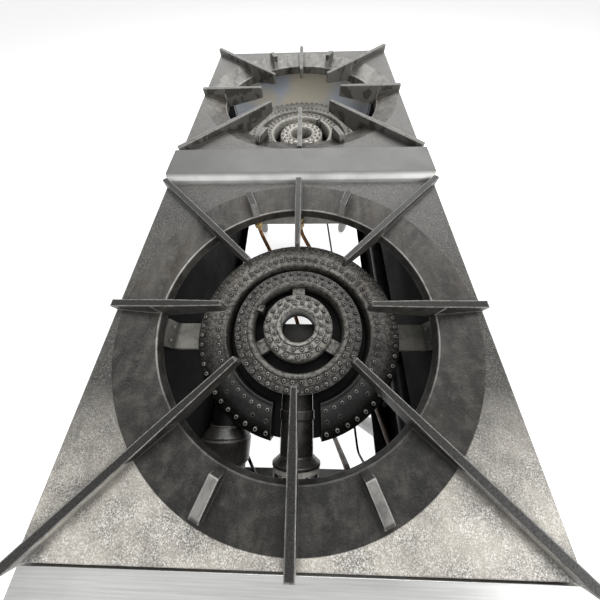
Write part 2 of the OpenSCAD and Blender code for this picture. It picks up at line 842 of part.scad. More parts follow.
module inner_section() {
    polygon(concat([[bore_r, -casting_h]], lip_arc(bore_r, 0, inner_lip_r), [
        [inner_land, 0], [inner_land, -land_step + row_step_z], [inner_split, -land_step + row_step_z],
        [inner_split, -land_step], [inner_r2 - edge_drop, -land_step],
        [inner_r2, -land_step - edge_drop], [inner_r2 + inner_flare, -casting_h]
    ]));
}

module inner_ports_2d(size) {
    port_row(middle_row1, middle_ports, 0, 0, size);
    port_row(middle_row2, middle_ports, 180 / middle_ports, 0, size);
    port_row(inner_row1, inner_ports, 0, 0, size);
    port_row(inner_row2, inner_ports, 180 / inner_ports, 0, size);
}

module spokes() {
    r0 = inner_r2 - edge_drop - cast_t / 2;
    r1 = middle_r1 + cast_t / 2;
    ring_copies(3, 90) translate([r0, -spoke_w / 2, -casting_h])
        cube([r1 - r0, spoke_w, casting_h - spoke_drop]);
}

// The floor between the middle and inner rings, with a hole for the pilot's riser
module inner_web(a) {
    p = ring_place(pilot_r, a);
    translate([0, 0, -casting_h]) linear_extrude(cast_t) difference() {
        circle(r = middle_r1 + cast_t / 2, $fn = big_fn);
        circle(r = inner_r2, $fn = big_fn);
        translate([p[0], p[1]]) circle(r = pilot_cup_r, $fn = small_fn);
    }
}

module spoke_passages() {
    r0 = inner_r2 - 2 * cast_t;
    r1 = middle_r1 + 2 * cast_t;
    passage_r = spoke_w / 2 - cast_t;
    ring_copies(3, 90) translate([r0, 0, (-casting_h - spoke_drop) / 2])
        rotate([0, 90, 0]) cylinder(h = r1 - r0, r = passage_r);
}

// The middle and inner rings are one casting, joined by three hollow spokes and a floor
module inner_burner(a) {
    chamber_top = -land_step - cast_t;
    translate([0, 0, -crown_z]) difference() {
        union() {
            rotate_extrude($fn = big_fn) {
                middle_section();
                inner_section();
            }
            spokes();
            inner_web(a);
            translate([0, 0, -land_step - cut]) linear_extrude(boss_h + cut) inner_ports_2d(boss_r);
            rod_y(0, -inner_neck_end, crown_z - mixer_z, neck_r, inner_neck_end - inner_neck_root);
        }
        rotate_extrude($fn = big_fn) {
            chamber_section(middle_r1, middle_r2, land_step);
            chamber_section(bore_r, inner_r2, land_step);
        }
        translate([0, 0, chamber_top - cut]) linear_extrude(cast_t + land_step + 3 * cut)
            inner_ports_2d(port_r);
        spoke_passages();
        rod_y(0, -inner_neck_end - cut, crown_z - mixer_z, throat_r,
              (inner_neck_end - inner_neck_root) * throat_share);
        for (s = [-1, 1]) {
            translate([s * burner_bolt_xs[1], burner_rail_y, -casting_h - cut])
                cylinder(h = burner_bolt_depth + cut, r = burner_bolt_r + run_fit, $fn = small_fn);
        }
    }
}

module front_inner_burner() {
    color(cast_col) at_burner(front_c) inner_burner(front_pilot_a);
}

module rear_inner_burner() {
    color(cast_col) at_burner(rear_c) inner_burner(rear_pilot_a);
}

// Mixers. Both are drawn pointing along +Y from their drum's front face at y = 0.

// Windows of a drum or its shutter, as wedges about the mixer's axis
module window_wedges(r, y0, y1) {
    a = 360 / windows * window_share;
    for (i = [0 : windows - 1]) {
        rotate([0, 45 + i * 360 / windows, 0]) along_y(y0, y1)
            polygon([[0, 0], [2 * r * cos(a / 2), -2 * r * sin(a / 2)],
                     [2 * r * cos(a / 2), 2 * r * sin(a / 2)]]);
    }
}

window_margin = 6;

module mixer_drum(r) {
    difference() {
        rod_y(0, 0, 0, r, drum_l);
        rod_y(0, drum_cap_t, 0, r - drum_t, drum_l);
        rod_y(0, -cut, 0, hood_hole_r, drum_cap_t + 2 * cut);
        window_wedges(r, window_margin, drum_l - window_margin);
    }
}

// Outline of the outer mixer's shell: seam, band and cone back to the neck
module outer_mixer_shell() {
    l = mixer_reach - outer_neck_end;
    seam_y = drum_l + band_l;
    lip = outer_drum_r + drum_t;
    seam = collar_t;
    difference() {
        rotate([-90, 0, 0]) rotate_extrude($fn = 64) polygon([
            [outer_drum_r - drum_t, drum_l], [lip, drum_l], [band_r, drum_l + drum_t],
            [band_r, seam_y], [band_r - seam, seam_y], [band_r - seam, seam_y + seam],
            [band_r - seam, seam_y + 2 * seam], [neck_r + collar_t, l - drum_t],
            [neck_r + collar_t, l], [throat_r, l], [throat_r, seam_y + seam],
            [outer_drum_r - drum_t, drum_l + flare_l]
        ]);
    }
}

module outer_mixer() {
    translate([outer_mixer_x, -mixer_reach, -mixer_z]) {
        mixer_drum(outer_drum_r);
        outer_mixer_shell();
    }
}

module inner_mixer_shell() {
    l = mixer_reach - inner_neck_end;
    collar_r = neck_r + collar_t;
    lip = inner_drum_r + drum_t;
    rotate([-90, 0, 0]) rotate_extrude($fn = 64) polygon([
        [inner_drum_r - drum_t, drum_l], [lip, drum_l], [lip, drum_l + drum_t],
        [neck_r, drum_l + drum_t + flare_l], [neck_r, l - collar_l], [collar_r, l - collar_l],
        [collar_r, l], [throat_r, l], [throat_r, drum_l + 2 * flare_l],
        [inner_drum_r - drum_t, drum_l + drum_t]
    ]);
}

module inner_mixer() {
    translate([0, -mixer_reach, -mixer_z]) {
        mixer_drum(inner_drum_r);
        inner_mixer_shell();
    }
}

module front_outer_mixer() {
    color(cast_col) at_burner(front_c) outer_mixer();
}

module front_inner_mixer() {
    color(cast_col) at_burner(front_c) inner_mixer();
}

module rear_outer_mixer() {
    color(cast_col) at_burner(rear_c) outer_mixer();
}

module rear_inner_mixer() {
    color(cast_col) at_burner(rear_c) inner_mixer();
}

tab_w = 12;
shutter_tab = 10;

// A sleeve round the drum with the drum's own windows, and a thumb tab below
module shutter(x, r) {
    in_r = r + fit;
    out_r = in_r + shutter_t;
    translate([x, -mixer_reach, -mixer_z]) {
        difference() {
            rod_y(0, 0, 0, out_r, drum_l - fit);
            rod_y(0, -cut, 0, in_r, drum_l + 2 * cut);
            window_wedges(out_r, window_margin, drum_l - window_margin);
        }
        translate([-tab_w / 2, 0, -out_r - shutter_tab])
            cube([tab_w, shutter_t, shutter_tab + shutter_t / 2]);
    }
}

module front_outer_shutter() {
    color(steel_col) at_burner(front_c) shutter(outer_mixer_x, outer_drum_r);
}

module front_inner_shutter() {
    color(steel_col) at_burner(front_c) shutter(0, inner_drum_r);
}

module rear_outer_shutter() {
    color(steel_col) at_burner(rear_c) shutter(outer_mixer_x, outer_drum_r);
}

module rear_inner_shutter() {
    color(steel_col) at_burner(rear_c) shutter(0, inner_drum_r);
}

// Pilots: a small burner tip between two upright plates, on a strap fixed to the back of the burner rail
strap_w = 14;
hood_room = 1.2;
hood_w = 2 * (middle_r1 - pilot_r - hood_room);
hood_t = 1.2;
pilot_foot = 10;

module pilot(a) {
    p = ring_place(pilot_r, a);
    rail_top = -crown_z - casting_h;
    strap_top = rail_top - fit;
    rail_y1 = burner_rail_y + rail_w / 2;
    translate([p[0], 0, 0]) {
        box_from([-strap_w / 2, rail_y1, strap_top - sheet_t], [strap_w / 2, p[1] + strap_w / 2, strap_top]);
        box_from([-strap_w / 2, rail_y1, rail_top - rail_lip], [strap_w / 2, rail_y1 + sheet_t, strap_top]);
    }
    translate([p[0], p[1], 0]) {
        difference() {
            union() {
                translate([0, 0, -pilot_base_z]) cylinder(h = pilot_base_z - pilot_tip_z, r = pilot_cup_r);
                translate([0, 0, rail_top - pilot_foot])
                    cylinder(h = pilot_foot + casting_h / 2, r = pilot_cup_r - hood_t);
            }
            translate([0, 0, rail_top - pilot_foot - cut]) cylinder(h = pilot_foot, r = pilot_tube_r);
            translate([0, 0, -pilot_tip_z - pilot_tube_r]) cylinder(h = 2 * pilot_tube_r, r = pilot_tube_r);
        }
        rotate(a) {
            translate([-hood_w / 2, pilot_cup_r - hood_t / 2, -pilot_base_z])
                cube([hood_w, hood_t, pilot_base_z - pilot_tip_z + pilot_tube_r]);
            translate([-pilot_cup_r, -pilot_cup_r - hood_t / 2, -pilot_base_z])
                cube([pilot_cup_r, hood_t, pilot_base_z - pilot_tip_z + pilot_tube_r]);
        }
    }
}

module front_pilot() {
    color(steel_col) at_burner(front_c) pilot(front_pilot_a);
}

module rear_pilot() {
    color(steel_col) at_burner(rear_c) pilot(rear_pilot_a);
}

// Routes of the tubes, as points about the front burner's centre at plate level. Their middles are chosen by
// hand, as shares of the range's width.
tube_start_y = valve_y + valve_l / 2 + outlet_l - front_c;
elbow_foot = [0, elbow_y - front_c, -mixer_z - elbow_drop];
tube_bend = 26;
outer_mid_shares = [[0.164, -0.411, -0.634], [-0.105, 0.376, -0.448]];
inner_mid_shares = [[0.385, -0.262, -0.661], [0.153, 0.350, -0.470]];
drop_y = -0.448 * range_w;
outer_route = concat(
    [[rear_valve_x1, tube_start_y, -mixer_z], [rear_valve_x1, drop_y, -mixer_z]],
    outer_mid_shares * range_w,
    [elbow_foot + [outer_mixer_x, 0, -1.3 * tube_bend], elbow_foot + [outer_mixer_x, 0, 0]]);
inner_route = concat(
    [[rear_valve_x2, tube_start_y, -mixer_z], [rear_valve_x2, drop_y, -mixer_z]],
    inner_mid_shares * range_w,
    [elbow_foot + [0, 0, -1.3 * tube_bend], elbow_foot]);
pilot_start_y = valve_y + pilot_setback / 2 - front_c;
pilot_drop_y = -0.475 * range_w;
pilot_bend = 14;
pf = ring_place(pilot_r, front_pilot_a);
pr = ring_place(pilot_r, rear_pilot_a);
pilot_low = -crown_z - casting_h - pilot_foot / 2;
riser_z = pilot_low - 1.9 * pilot_bend;
front_pilot_shares = [[-0.162, -0.455, -0.361], [-0.328, -0.262, -0.470], [-0.429, -0.066, -0.429],
                      [-0.407, 0.070, -0.306]];
rear_pilot_shares = [[0.262, -0.464, -0.573], [0.210, 0.516, -0.573], [0.153, 0.647, -0.363]];
front_pilot_route = concat(
    [[front_pilot_x, pilot_start_y, -mixer_z], [front_pilot_x, pilot_drop_y, -mixer_z]],
    front_pilot_shares * range_w,
    [[pf[0], pf[1], riser_z], [pf[0], pf[1], pilot_low]]);
rear_pilot_route = concat(
    [[rear_pilot_x, pilot_start_y, -mixer_z], [rear_pilot_x, pilot_drop_y, -mixer_z]],
    rear_pilot_shares * range_w,
    [[pr[0], grate_pitch - 3 * pilot_bend, riser_z - pilot_bend / 2],
     [pr[0], grate_pitch + pr[1], riser_z], [pr[0], grate_pitch + pr[1], pilot_low]]);

module outer_supply_tube() {
    color(copper_col) at_burner(front_c) tube_along(outer_route, tube_r, tube_bend);
}

module inner_supply_tube() {
    color(copper_col) at_burner(front_c) tube_along(inner_route, tube_r, tube_bend);
}

module front_pilot_tube() {
    color(steel_col) at_burner(front_c) tube_along(front_pilot_route, pilot_tube_r, pilot_bend, 8);
}

module rear_pilot_tube() {
    color(steel_col) at_burner(front_c) tube_along(rear_pilot_route, pilot_tube_r, pilot_bend, 8);
}

// Gas train
pipe_zz = plate_h - pipe_z;
manifold_end = 30;
manifold_x0 = outer_mixer_x - manifold_end;
elbow_reach = 2.2 * pipe_r;
cap_l = 18;
thread_l = 10;

// The manifold ends in the cap at the left and in the elbow at the right
module manifold_pipe() {
    x1 = supply_x - elbow_reach + thread_l;
    color(black_col) difference() {
        rod_x(manifold_x0, valve_y, pipe_zz, pipe_r, x1 - manifold_x0);
        rod_x(manifold_x0 - cut, valve_y, pipe_zz, pipe_bore_r, x1 - manifold_x0 + 2 * cut);
        for (x = concat(valve_xs, pilot_xs)) {
            translate([x, valve_y, pipe_zz]) cylinder(h = 2 * pipe_r, r = spigot_r + fit, $fn = small_fn);
        }
    }
}

// The supply pipe's end behind the back panel is turned down a little, for the gas connector
module supply_pipe() {
    y0 = valve_y + elbow_reach - thread_l;
    l = back_y + inlet_l - y0;
    color(black_col) difference() {
        union() {
            rod_y(supply_x, y0, pipe_zz, pipe_r, l - inlet_end_l);
            rod_y(supply_x, y0, pipe_zz, pipe_r - fit, l);
        }
        rod_y(supply_x, y0 - cut, pipe_zz, pipe_bore_r, l + 2 * cut);
    }
}

// Elbow between manifold and supply pipe, and the cap on the manifold's left end
module pipe_fittings() {
    collar_r = elbow_body_r + 2;
    color(black_col) difference() {
        union() {
            rod_x(supply_x - elbow_reach, valve_y, pipe_zz, elbow_body_r, elbow_reach);
            rod_x(supply_x - elbow_reach, valve_y, pipe_zz, collar_r, thread_l / 2);
            rod_y(supply_x, valve_y, pipe_zz, elbow_body_r, elbow_reach);
            rod_y(supply_x, valve_y + elbow_reach - thread_l / 2, pipe_zz, collar_r, thread_l / 2);
            translate([supply_x, valve_y, pipe_zz]) sphere(r = elbow_body_r);
        }
        rod_x(supply_x - elbow_reach - cut, valve_y, pipe_zz, pipe_r + run_fit, thread_l + cut);
        rod_y(supply_x, valve_y + elbow_reach - thread_l, pipe_zz, pipe_r + run_fit, thread_l + cut);
        rod_x(supply_x - elbow_reach - cut, valve_y, pipe_zz, pipe_bore_r, elbow_reach + cut);
        rod_y(supply_x, valve_y, pipe_zz, pipe_bore_r, elbow_reach + cut);
    }
    color(black_col) difference() {
        rod_x(manifold_x0 - cap_l + thread_l, valve_y, pipe_zz, elbow_body_r, cap_l);
        rod_x(manifold_x0, valve_y, pipe_zz, pipe_r + run_fit, thread_l + cut);
    }
}

bracket_xs = [manifold_x0 / 2, (rear_valve_x1 + rear_pilot_x) / 2];
bracket_w = 16;

// Saddles that hold the manifold off the control panel
module manifold_brackets() {
    for (x = bracket_xs) {
        color(zinc_col) difference() {
            union() {
                box_from([x - bracket_w / 2, panel_in, pipe_zz - pipe_r / 2],
                         [x + bracket_w / 2, valve_y, pipe_zz + pipe_r / 2]);
                box_from([x - bracket_w / 2, panel_in, pipe_zz - 2 * pipe_r],
                         [x + bracket_w / 2, panel_in + sheet_t, pipe_zz + pipe_r / 2]);
                rod_x(x - bracket_w / 2, valve_y, pipe_zz, pipe_r + sheet_t, bracket_w);
            }
            rod_x(x - bracket_w, valve_y, pipe_zz, pipe_r + run_fit, 2 * bracket_w);
        }
    }
}

// One burner valve: body along Y, threaded leg down into the manifold, bonnet round the stem
module burner_valve(x) {
    y0 = valve_y - valve_l / 2;
    difference() {
        union() {
            rod_y(x, y0, valve_z, valve_r, valve_l);
            rod_y(x, y0 - bonnet_l, valve_z, valve_r - 2, bonnet_l + cut, hex);
            rod_y(x, y0 + valve_l - cut, valve_z, outlet_r, outlet_l + cut);
            translate([x, valve_y, pipe_zz + pipe_r + fit])
                cylinder(h = valve_z - pipe_zz - pipe_r - fit, r = leg_pipe_r);
            translate([x, valve_y, pipe_zz + pipe_r - spigot_l]) cylinder(h = valve_r, r = spigot_r);
            translate([x, valve_y, pipe_zz + pipe_r + 2 * spigot_l])
                cylinder(h = 3 * spigot_l, r = leg_pipe_r + 2.5, $fn = hex);
        }
        rod_y(x, y0 - bonnet_l - cut, valve_z, stem_r + run_fit, stem_bore_l + cut);
        rod_y(x, valve_y, valve_z, spigot_r / 2, valve_l);
    }
}

module burner_valves() {
    color(brass_col) for (x = valve_xs) {
        burner_valve(x);
    }
}

pilot_leg_r = pilot_body_r - 1;

module pilot_valves() {
    y0 = valve_y - pilot_setback / 2;
    color(brass_col) for (x = pilot_xs) {
        difference() {
            union() {
                rod_y(x, y0, valve_z, pilot_body_r, pilot_setback);
                translate([x, valve_y, pipe_zz + pipe_r - spigot_l])
                    cylinder(h = valve_z - pipe_zz - pipe_r + spigot_l, r = pilot_leg_r);
            }
            rod_y(x, y0 - cut, valve_z, pilot_screw_r + run_fit, pilot_setback / 2 + cut);
        }
    }
}

module pilot_screw(x) {
    y0 = valve_y - pilot_setback / 2;
    head_l = 4;
    slot_t = 1;
    color(steel_col) difference() {
        union() {
            rod_y(x, y0 - fit, valve_z, pilot_screw_r, pilot_setback / 2 - fit);
            rod_y(x, y0 - fit - head_l, valve_z, pilot_screw_r * 1.4, head_l);
        }
        translate([x - slot_t / 2, y0 - fit - head_l - cut, valve_z - 2 * pilot_screw_r])
            cube([slot_t, head_l / 2 + cut, 4 * pilot_screw_r]);
    }
}

module front_pilot_screw() {
    pilot_screw(pilot_xs[0]);
}

module rear_pilot_screw() {
    pilot_screw(pilot_xs[1]);
}

// Stems and knobs: the stem's front end is flattened where the knob grips it
grip_l = 16;
flat_cut = stem_r * 0.5;
knob_back_y = panel_y - knob_gap;

module stem(x) {
    y0 = knob_back_y - grip_l;
    y1 = valve_y - valve_l / 2 - bonnet_l + stem_bore_l - fit;
    color(steel_col) difference() {
        rod_y(x, y0, valve_z, stem_r, y1 - y0);
        translate([x - stem_r, y0 - cut, valve_z + stem_r - flat_cut])
            cube([2 * stem_r, grip_l + cut, stem_r]);
    }
}

module knob(x) {
    skirt_t1 = 4;
    dish = 2;
    neck = knob_r * 0.72;
    color(black_col) translate([x, knob_back_y, valve_z]) rotate([90, 0, 0]) difference() {
        union() {
            rotate_extrude() polygon([
                [0, 0], [knob_r, 0], [knob_r, skirt_t1 - 1], [knob_r - 1, skirt_t1],
                [neck + dish, skirt_t1 + 1], [neck, skirt_t1 + 1 + dish],
                [neck - dish, knob_d * 0.55], [neck - 2 * dish, knob_d * 0.6], [0, knob_d * 0.6]
            ]);
            intersection() {
                translate([-grip_w / 2, -knob_r, skirt_t1]) cube([grip_w, 2 * knob_r, knob_d - skirt_t1]);
                cylinder(h = knob_d, r1 = knob_r, r2 = knob_r * 0.85);
            }
        }
        translate([0, 0, -cut]) difference() {
            cylinder(h = grip_l + run_fit + cut, r = stem_r + run_fit);
            translate([-stem_r - cut, stem_r - flat_cut + run_fit, -cut])
                cube([2 * stem_r + 2 * cut, stem_r, grip_l + 4 * cut]);
        }
    }
}

module front_outer_stem() {
    stem(valve_xs[0]);
}

module front_inner_stem() {
    stem(valve_xs[1]);
}

module rear_outer_stem() {
    stem(valve_xs[2]);
}

module rear_inner_stem() {
    stem(valve_xs[3]);
}

module front_outer_knob() {
    knob(valve_xs[0]);
}

module front_inner_knob() {
    knob(valve_xs[1]);
}

module rear_outer_knob() {
    knob(valve_xs[2]);
}

module rear_inner_knob() {
    knob(valve_xs[3]);
}

// Orifice hoods: a hexagon and a drilled nose that enters the mixer's drum
module hood(x, y0, y1) {
    difference() {
        union() {
            rod_y(x, y0, valve_z, hood_r, (y1 - y0) / 2, hex);
            rod_y(x, y0 + (y1 - y0) / 4, valve_z, hood_tip_r, (y1 - y0) * 0.75);
        }
        rod_y(x, y0 - cut, valve_z, hood_tip_r / 2, (y1 - y0) * 0.85 + cut);
        rod_y(x, y0, valve_z, jet_r, y1 - y0 + cut, small_fn);
    }
}

module orifice_hoods() {
    front_y0 = valve_y + valve_l / 2 + outlet_l;
    rear_y0 = rail_web_y + sheet_t + elbow_r / 2;
    color(brass_col) for (x = [outer_mixer_x, 0]) {
        hood(x, front_y0, front_c - mixer_reach + hood_entry);
        hood(x, rear_y0, rear_c - mixer_reach + hood_entry);
    }
}

// Elbows in front of the cross rail's web: the tube comes up into them from below
module orifice_elbows() {
    color(brass_col) for (x = [outer_mixer_x, 0]) {
        difference() {
            union() {
                rod_y(x, elbow_y, valve_z, elbow_r, rail_web_y + sheet_t + elbow_r / 2 - elbow_y);
                rod_y(x, rail_web_y - hex_t, valve_z, elbow_r + hex_t, hex_t, hex);
                translate([x, elbow_y, valve_z - elbow_drop]) cylinder(h = elbow_drop, r = elbow_r - 1);
                translate([x, elbow_y, valve_z]) sphere(r = elbow_r);
            }
            rod_y(x, elbow_y, valve_z, spigot_r / 2, rail_web_y + elbow_r - elbow_y);
            translate([x, elbow_y, valve_z - elbow_drop - cut]) cylinder(h = elbow_drop + cut, r = spigot_r / 2);
        }
    }
}

// Flare nuts on every tube end
module nut(r, l, tube) {
    difference() {
        cylinder(h = l, r = r, $fn = hex);
        translate([0, 0, -cut]) cylinder(h = l + 2 * cut, r = tube + fit);
    }
}

module tube_nuts() {
    color(brass_col) {
        for (x = [rear_valve_x1, rear_valve_x2]) {
            translate([x, valve_y + valve_l / 2 + outlet_l, valve_z]) rotate([-90, 0, 0])
                nut(nut_r, nut_l, tube_r);
        }
        for (x = [outer_mixer_x, 0]) {
            translate([x, elbow_y, valve_z - elbow_drop - nut_l]) nut(nut_r, nut_l, tube_r);
        }
        for (x = pilot_xs) {
            translate([x, valve_y + pilot_setback / 2, valve_z]) rotate([-90, 0, 0])
                nut(pilot_nut_r, pilot_nut_l, pilot_tube_r);
        }
    }
}

// Legs and feet
module leg(x, y) {
    tube_z0 = foot_h;
    tube_l = body_z - leg_top_t - tube_z0;
    difference() {
        union() {
            translate([x, y, tube_z0]) difference() {
                cylinder(h = tube_l + leg_top_t / 2, r = leg_r);
                translate([0, 0, leg_plug_t]) cylinder(h = tube_l + leg_top_t, r = leg_r - leg_t);
            }
            box_from([x - leg_plate_w / 2, y - leg_plate_l / 2, body_z - leg_top_t],
                     [x + leg_plate_w / 2, y + leg_plate_l / 2, body_z]);
        }
        translate([x, y, tube_z0 - cut]) cylinder(h = leg_plug_t + 2 * cut, r = foot_stem_r + run_fit);
        for (dy = [-leg_bolt_dy, leg_bolt_dy]) {
            translate([sign(x) * leg_bolt_x, y + dy, body_z - leg_top_t - cut])
                cylinder(h = leg_top_t + 2 * cut, r = bolt_r + fit, $fn = small_fn);
        }
    }
}

// A bullet foot: a screw inside the leg, a collar under it and a round pad on the floor
module foot(x, y) {
    pad_r = leg_r * 0.95;
    collar_t1 = foot_h / 3;
    color(steel_col) translate([x, y, 0]) {
        rotate_extrude() polygon([
            [0, 0], [pad_r * 0.62, 0], [pad_r * 0.8, foot_h / 6], [pad_r, foot_h - collar_t1 - fit],
            [pad_r, foot_h - fit], [foot_stem_r, foot_h - fit],
            [foot_stem_r, foot_h + foot_stem_l], [0, foot_h + foot_stem_l]
        ]);
    }
}

module front_left_leg() {
    color(steel_col) leg(-leg_x, leg_ys[0]);
}

module front_right_leg() {
    color(steel_col) leg(leg_x, leg_ys[0]);
}

module rear_left_leg() {
    color(steel_col) leg(-leg_x, leg_ys[1]);
}

module rear_right_leg() {
    color(steel_col) leg(leg_x, leg_ys[1]);
}

module front_left_foot() {
    foot(-leg_x, leg_ys[0]);
}

module front_right_foot() {
    foot(leg_x, leg_ys[0]);
}

module rear_left_foot() {
    foot(-leg_x, leg_ys[1]);
}

module rear_right_foot() {
    foot(leg_x, leg_ys[1]);
}

// Fasteners. Each points along +Z from the underside of its head at z = 0.
module screw(l) {
    translate([0, 0, -screw_head_t]) cylinder(h = screw_head_t, r1 = screw_head_r * 0.8, r2 = screw_head_r);
    cylinder(h = l, r = screw_r, $fn = small_fn);
}

module hex_bolt(r, head_r, head_t, l) {
    translate([0, 0, -head_t]) cylinder(h = head_t, r = head_r, $fn = hex);
    cylinder(h = l, r = r, $fn = small_fn);
}

module panel_screws() {
    l = 2 * sheet_t + fit + screw_end;
    color(steel_col) for (x = ledge_screw_xs) {
        translate([x, body_y0, deck_z - lip_h / 2]) rotate([-90, 0, 0]) screw(l);
    }
}

module rail_screws() {
    l = 2 * sheet_t + fit + screw_end;
    color(steel_col) for (p = side_holes) {
        translate([side_x, p[0], p[1]]) rotate([0, -90, 0]) screw(l);
        translate([-side_x, p[0], p[1]]) rotate([0, 90, 0]) screw(l);
    }
}

module burner_bolts() {
    top = plate_h - crown_z - casting_h;
    color(steel_col) for (c = [front_c, rear_c]) for (x = burner_bolt_xs) for (s = [-1, 1]) {
        translate([s * x, c + burner_rail_y, top - sheet_t])
            hex_bolt(burner_bolt_r, 2 * burner_bolt_r, burner_bolt_r, sheet_t + burner_bolt_depth - fit);
    }
}

module leg_bolts() {
    nut_t = bolt_head_t;
    color(steel_col) for (s = [-1, 1]) for (y = leg_ys) for (dy = [-leg_bolt_dy, leg_bolt_dy]) {
        translate([s * leg_bolt_x, y + dy, body_z - leg_top_t]) {
            hex_bolt(bolt_r, bolt_head_r, bolt_head_t, leg_top_t + sheet_t + nut_t + nut_end);
            translate([0, 0, leg_top_t + sheet_t]) cylinder(h = nut_t, r = bolt_head_r, $fn = hex);
        }
    }
}

front_grate();
rear_grate();
grate_bridge();
left_side_panel();
right_side_panel();
back_panel();
control_panel();
front_ledge();
centre_cross_rail();
front_burner_rail();
rear_burner_rail();
front_outer_burner();
front_inner_burner();
rear_outer_burner();
rear_inner_burner();
front_outer_mixer();
front_inner_mixer();
rear_outer_mixer();
rear_inner_mixer();
front_outer_shutter();
front_inner_shutter();
rear_outer_shutter();
rear_inner_shutter();
front_pilot();
rear_pilot();
front_pilot_tube();
rear_pilot_tube();
outer_supply_tube();
inner_supply_tube();
manifold_pipe();
supply_pipe();
pipe_fittings();
manifold_brackets();
burner_valves();
pilot_valves();
front_pilot_screw();
rear_pilot_screw();
front_outer_stem();
front_inner_stem();
rear_outer_stem();
rear_inner_stem();
front_outer_knob();
front_inner_knob();
rear_outer_knob();
rear_inner_knob();
orifice_hoods();
orifice_elbows();
tube_nuts();
front_left_leg();
front_right_leg();
rear_left_leg();
rear_right_leg();
front_left_foot();
front_right_foot();
rear_left_foot();
rear_right_foot();
panel_screws();
rail_screws();
burner_bolts();
leg_bolts();
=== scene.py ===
"""Finishes and the stage of a two-burner stock pot range."""

import math

import bpy
from mathutils import Matrix, Vector


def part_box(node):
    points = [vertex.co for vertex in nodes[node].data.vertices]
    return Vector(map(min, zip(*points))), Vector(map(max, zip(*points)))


bl_info = {
    "name": "Stock pot range dresser",
    "version": (1, 0, 0),
    "blender": (4, 5, 0),
    "location": "View3D > Sidebar > Pot range",
    "description": "Dresses a cast-iron stock pot range and sets it on a pale studio floor",
    "category": "Object",
}

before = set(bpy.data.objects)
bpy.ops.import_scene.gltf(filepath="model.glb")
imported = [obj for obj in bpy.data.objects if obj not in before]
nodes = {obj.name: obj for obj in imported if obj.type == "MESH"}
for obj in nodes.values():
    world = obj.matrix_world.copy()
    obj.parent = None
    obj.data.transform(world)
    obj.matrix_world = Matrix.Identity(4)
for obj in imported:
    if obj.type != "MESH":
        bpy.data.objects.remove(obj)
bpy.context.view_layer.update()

MM = 0.001
BURNERS = ("front", "rear")
RINGS = ("outer", "inner")
CONTROLS = ("front_outer", "front_inner", "rear_outer", "rear_inner")
CORNERS = ("front_left", "front_right", "rear_left", "rear_right")

# Rows of drilled ports: radius in millimetres, first port's angle from the back and pitch, in degrees
OUTER_PORTS = ((129.5, -161.73, 5.6747), (155.8, -164.89, 5.686))
INNER_PORTS = ((87.1, -90.0, 360 / 42), (98.75, -90.0 + 180 / 42, 360 / 42),
               (39.7, -90.0, 20.0), (50.7, -80.0, 20.0))

# Bands about a port's centre: its black bore, painted as soot and shade, its bright rim, rubbed and painted
# as a highlight, its foot where soot gathers, and its raised cone
PORT_BORE = (1.6 * MM, 1.2 * MM)
PORT_RIM_IN = (1.3 * MM, 1.7 * MM)
PORT_RIM_OUT = (2.9 * MM, 2.1 * MM)
PORT_FOOT = (4.8 * MM, 3.0 * MM)
PORT_CONE = (3.2 * MM, 1.5 * MM)

# How far a grate's dish lies below its plate, and how far beside the middle its front lugs stand
DISH_DROP = 12 * MM
LUG_SIDE = (50 * MM, 104 * MM)

# Tints: scoured iron over bare iron, soot and painted shade in the bores, a bluish painted reflection and
# cream painted light on zinc, and dust and chips on paint
SCOURED_TINT = (0.988, 0.931, 0.836)
BLACK = (0.002, 0.002, 0.002)
BLUISH_REFLECTION = (0.84, 0.90, 1.0)
CREAM_LIGHT = (1.0, 0.93, 0.76)
DUST = (0.2, 0.2, 0.195)
CHIPPED = (0.25, 0.25, 0.24)


def middle(node):
    """Middle of a CAD node's box."""
    low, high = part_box(node)
    return (low + high) / 2


def plate_top():
    """Height of the grate plates: the ribs' tops less their rise over the plate."""
    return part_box("front_grate")[1].z - bpy.context.scene.range_sizes.rib_rise


def shade(colour, factor):
    """A colour made darker or lighter, and never lighter than white."""
    return [min(1.0, c * factor) for c in colour]


class RangeSizes(bpy.types.PropertyGroup):
    """Sizes that the finishes are worked out from."""

    rib_rise: bpy.props.FloatProperty(
        name="Rib rise", description="Height of the ribs above the plate",
        default=11 * MM, unit="LENGTH")
    dish_radius: bpy.props.FloatProperty(
        name="Dish radius", description="Radius where the plate dips towards the opening",
        default=221 * MM, unit="LENGTH")
    opening_radius: bpy.props.FloatProperty(
        name="Opening radius", description="Radius of the round opening",
        default=179 * MM, unit="LENGTH")
    edge_round: bpy.props.FloatProperty(
        name="Cast edge", description="Rounding of a casting's edges",
        default=2.6 * MM, unit="LENGTH")
    crown_height: bpy.props.FloatProperty(
        name="Crown height", description="Height of the burners' tops over the floor",
        default=517 * MM, unit="LENGTH")
    boss_round: bpy.props.FloatProperty(
        name="Boss edge", description="Rounding of the bosses and rims of the burners",
        default=0.9 * MM, unit="LENGTH")
    sheet_round: bpy.props.FloatProperty(
        name="Sheet edge", description="Rounding of folded sheet edges",
        default=0.8 * MM, unit="LENGTH")


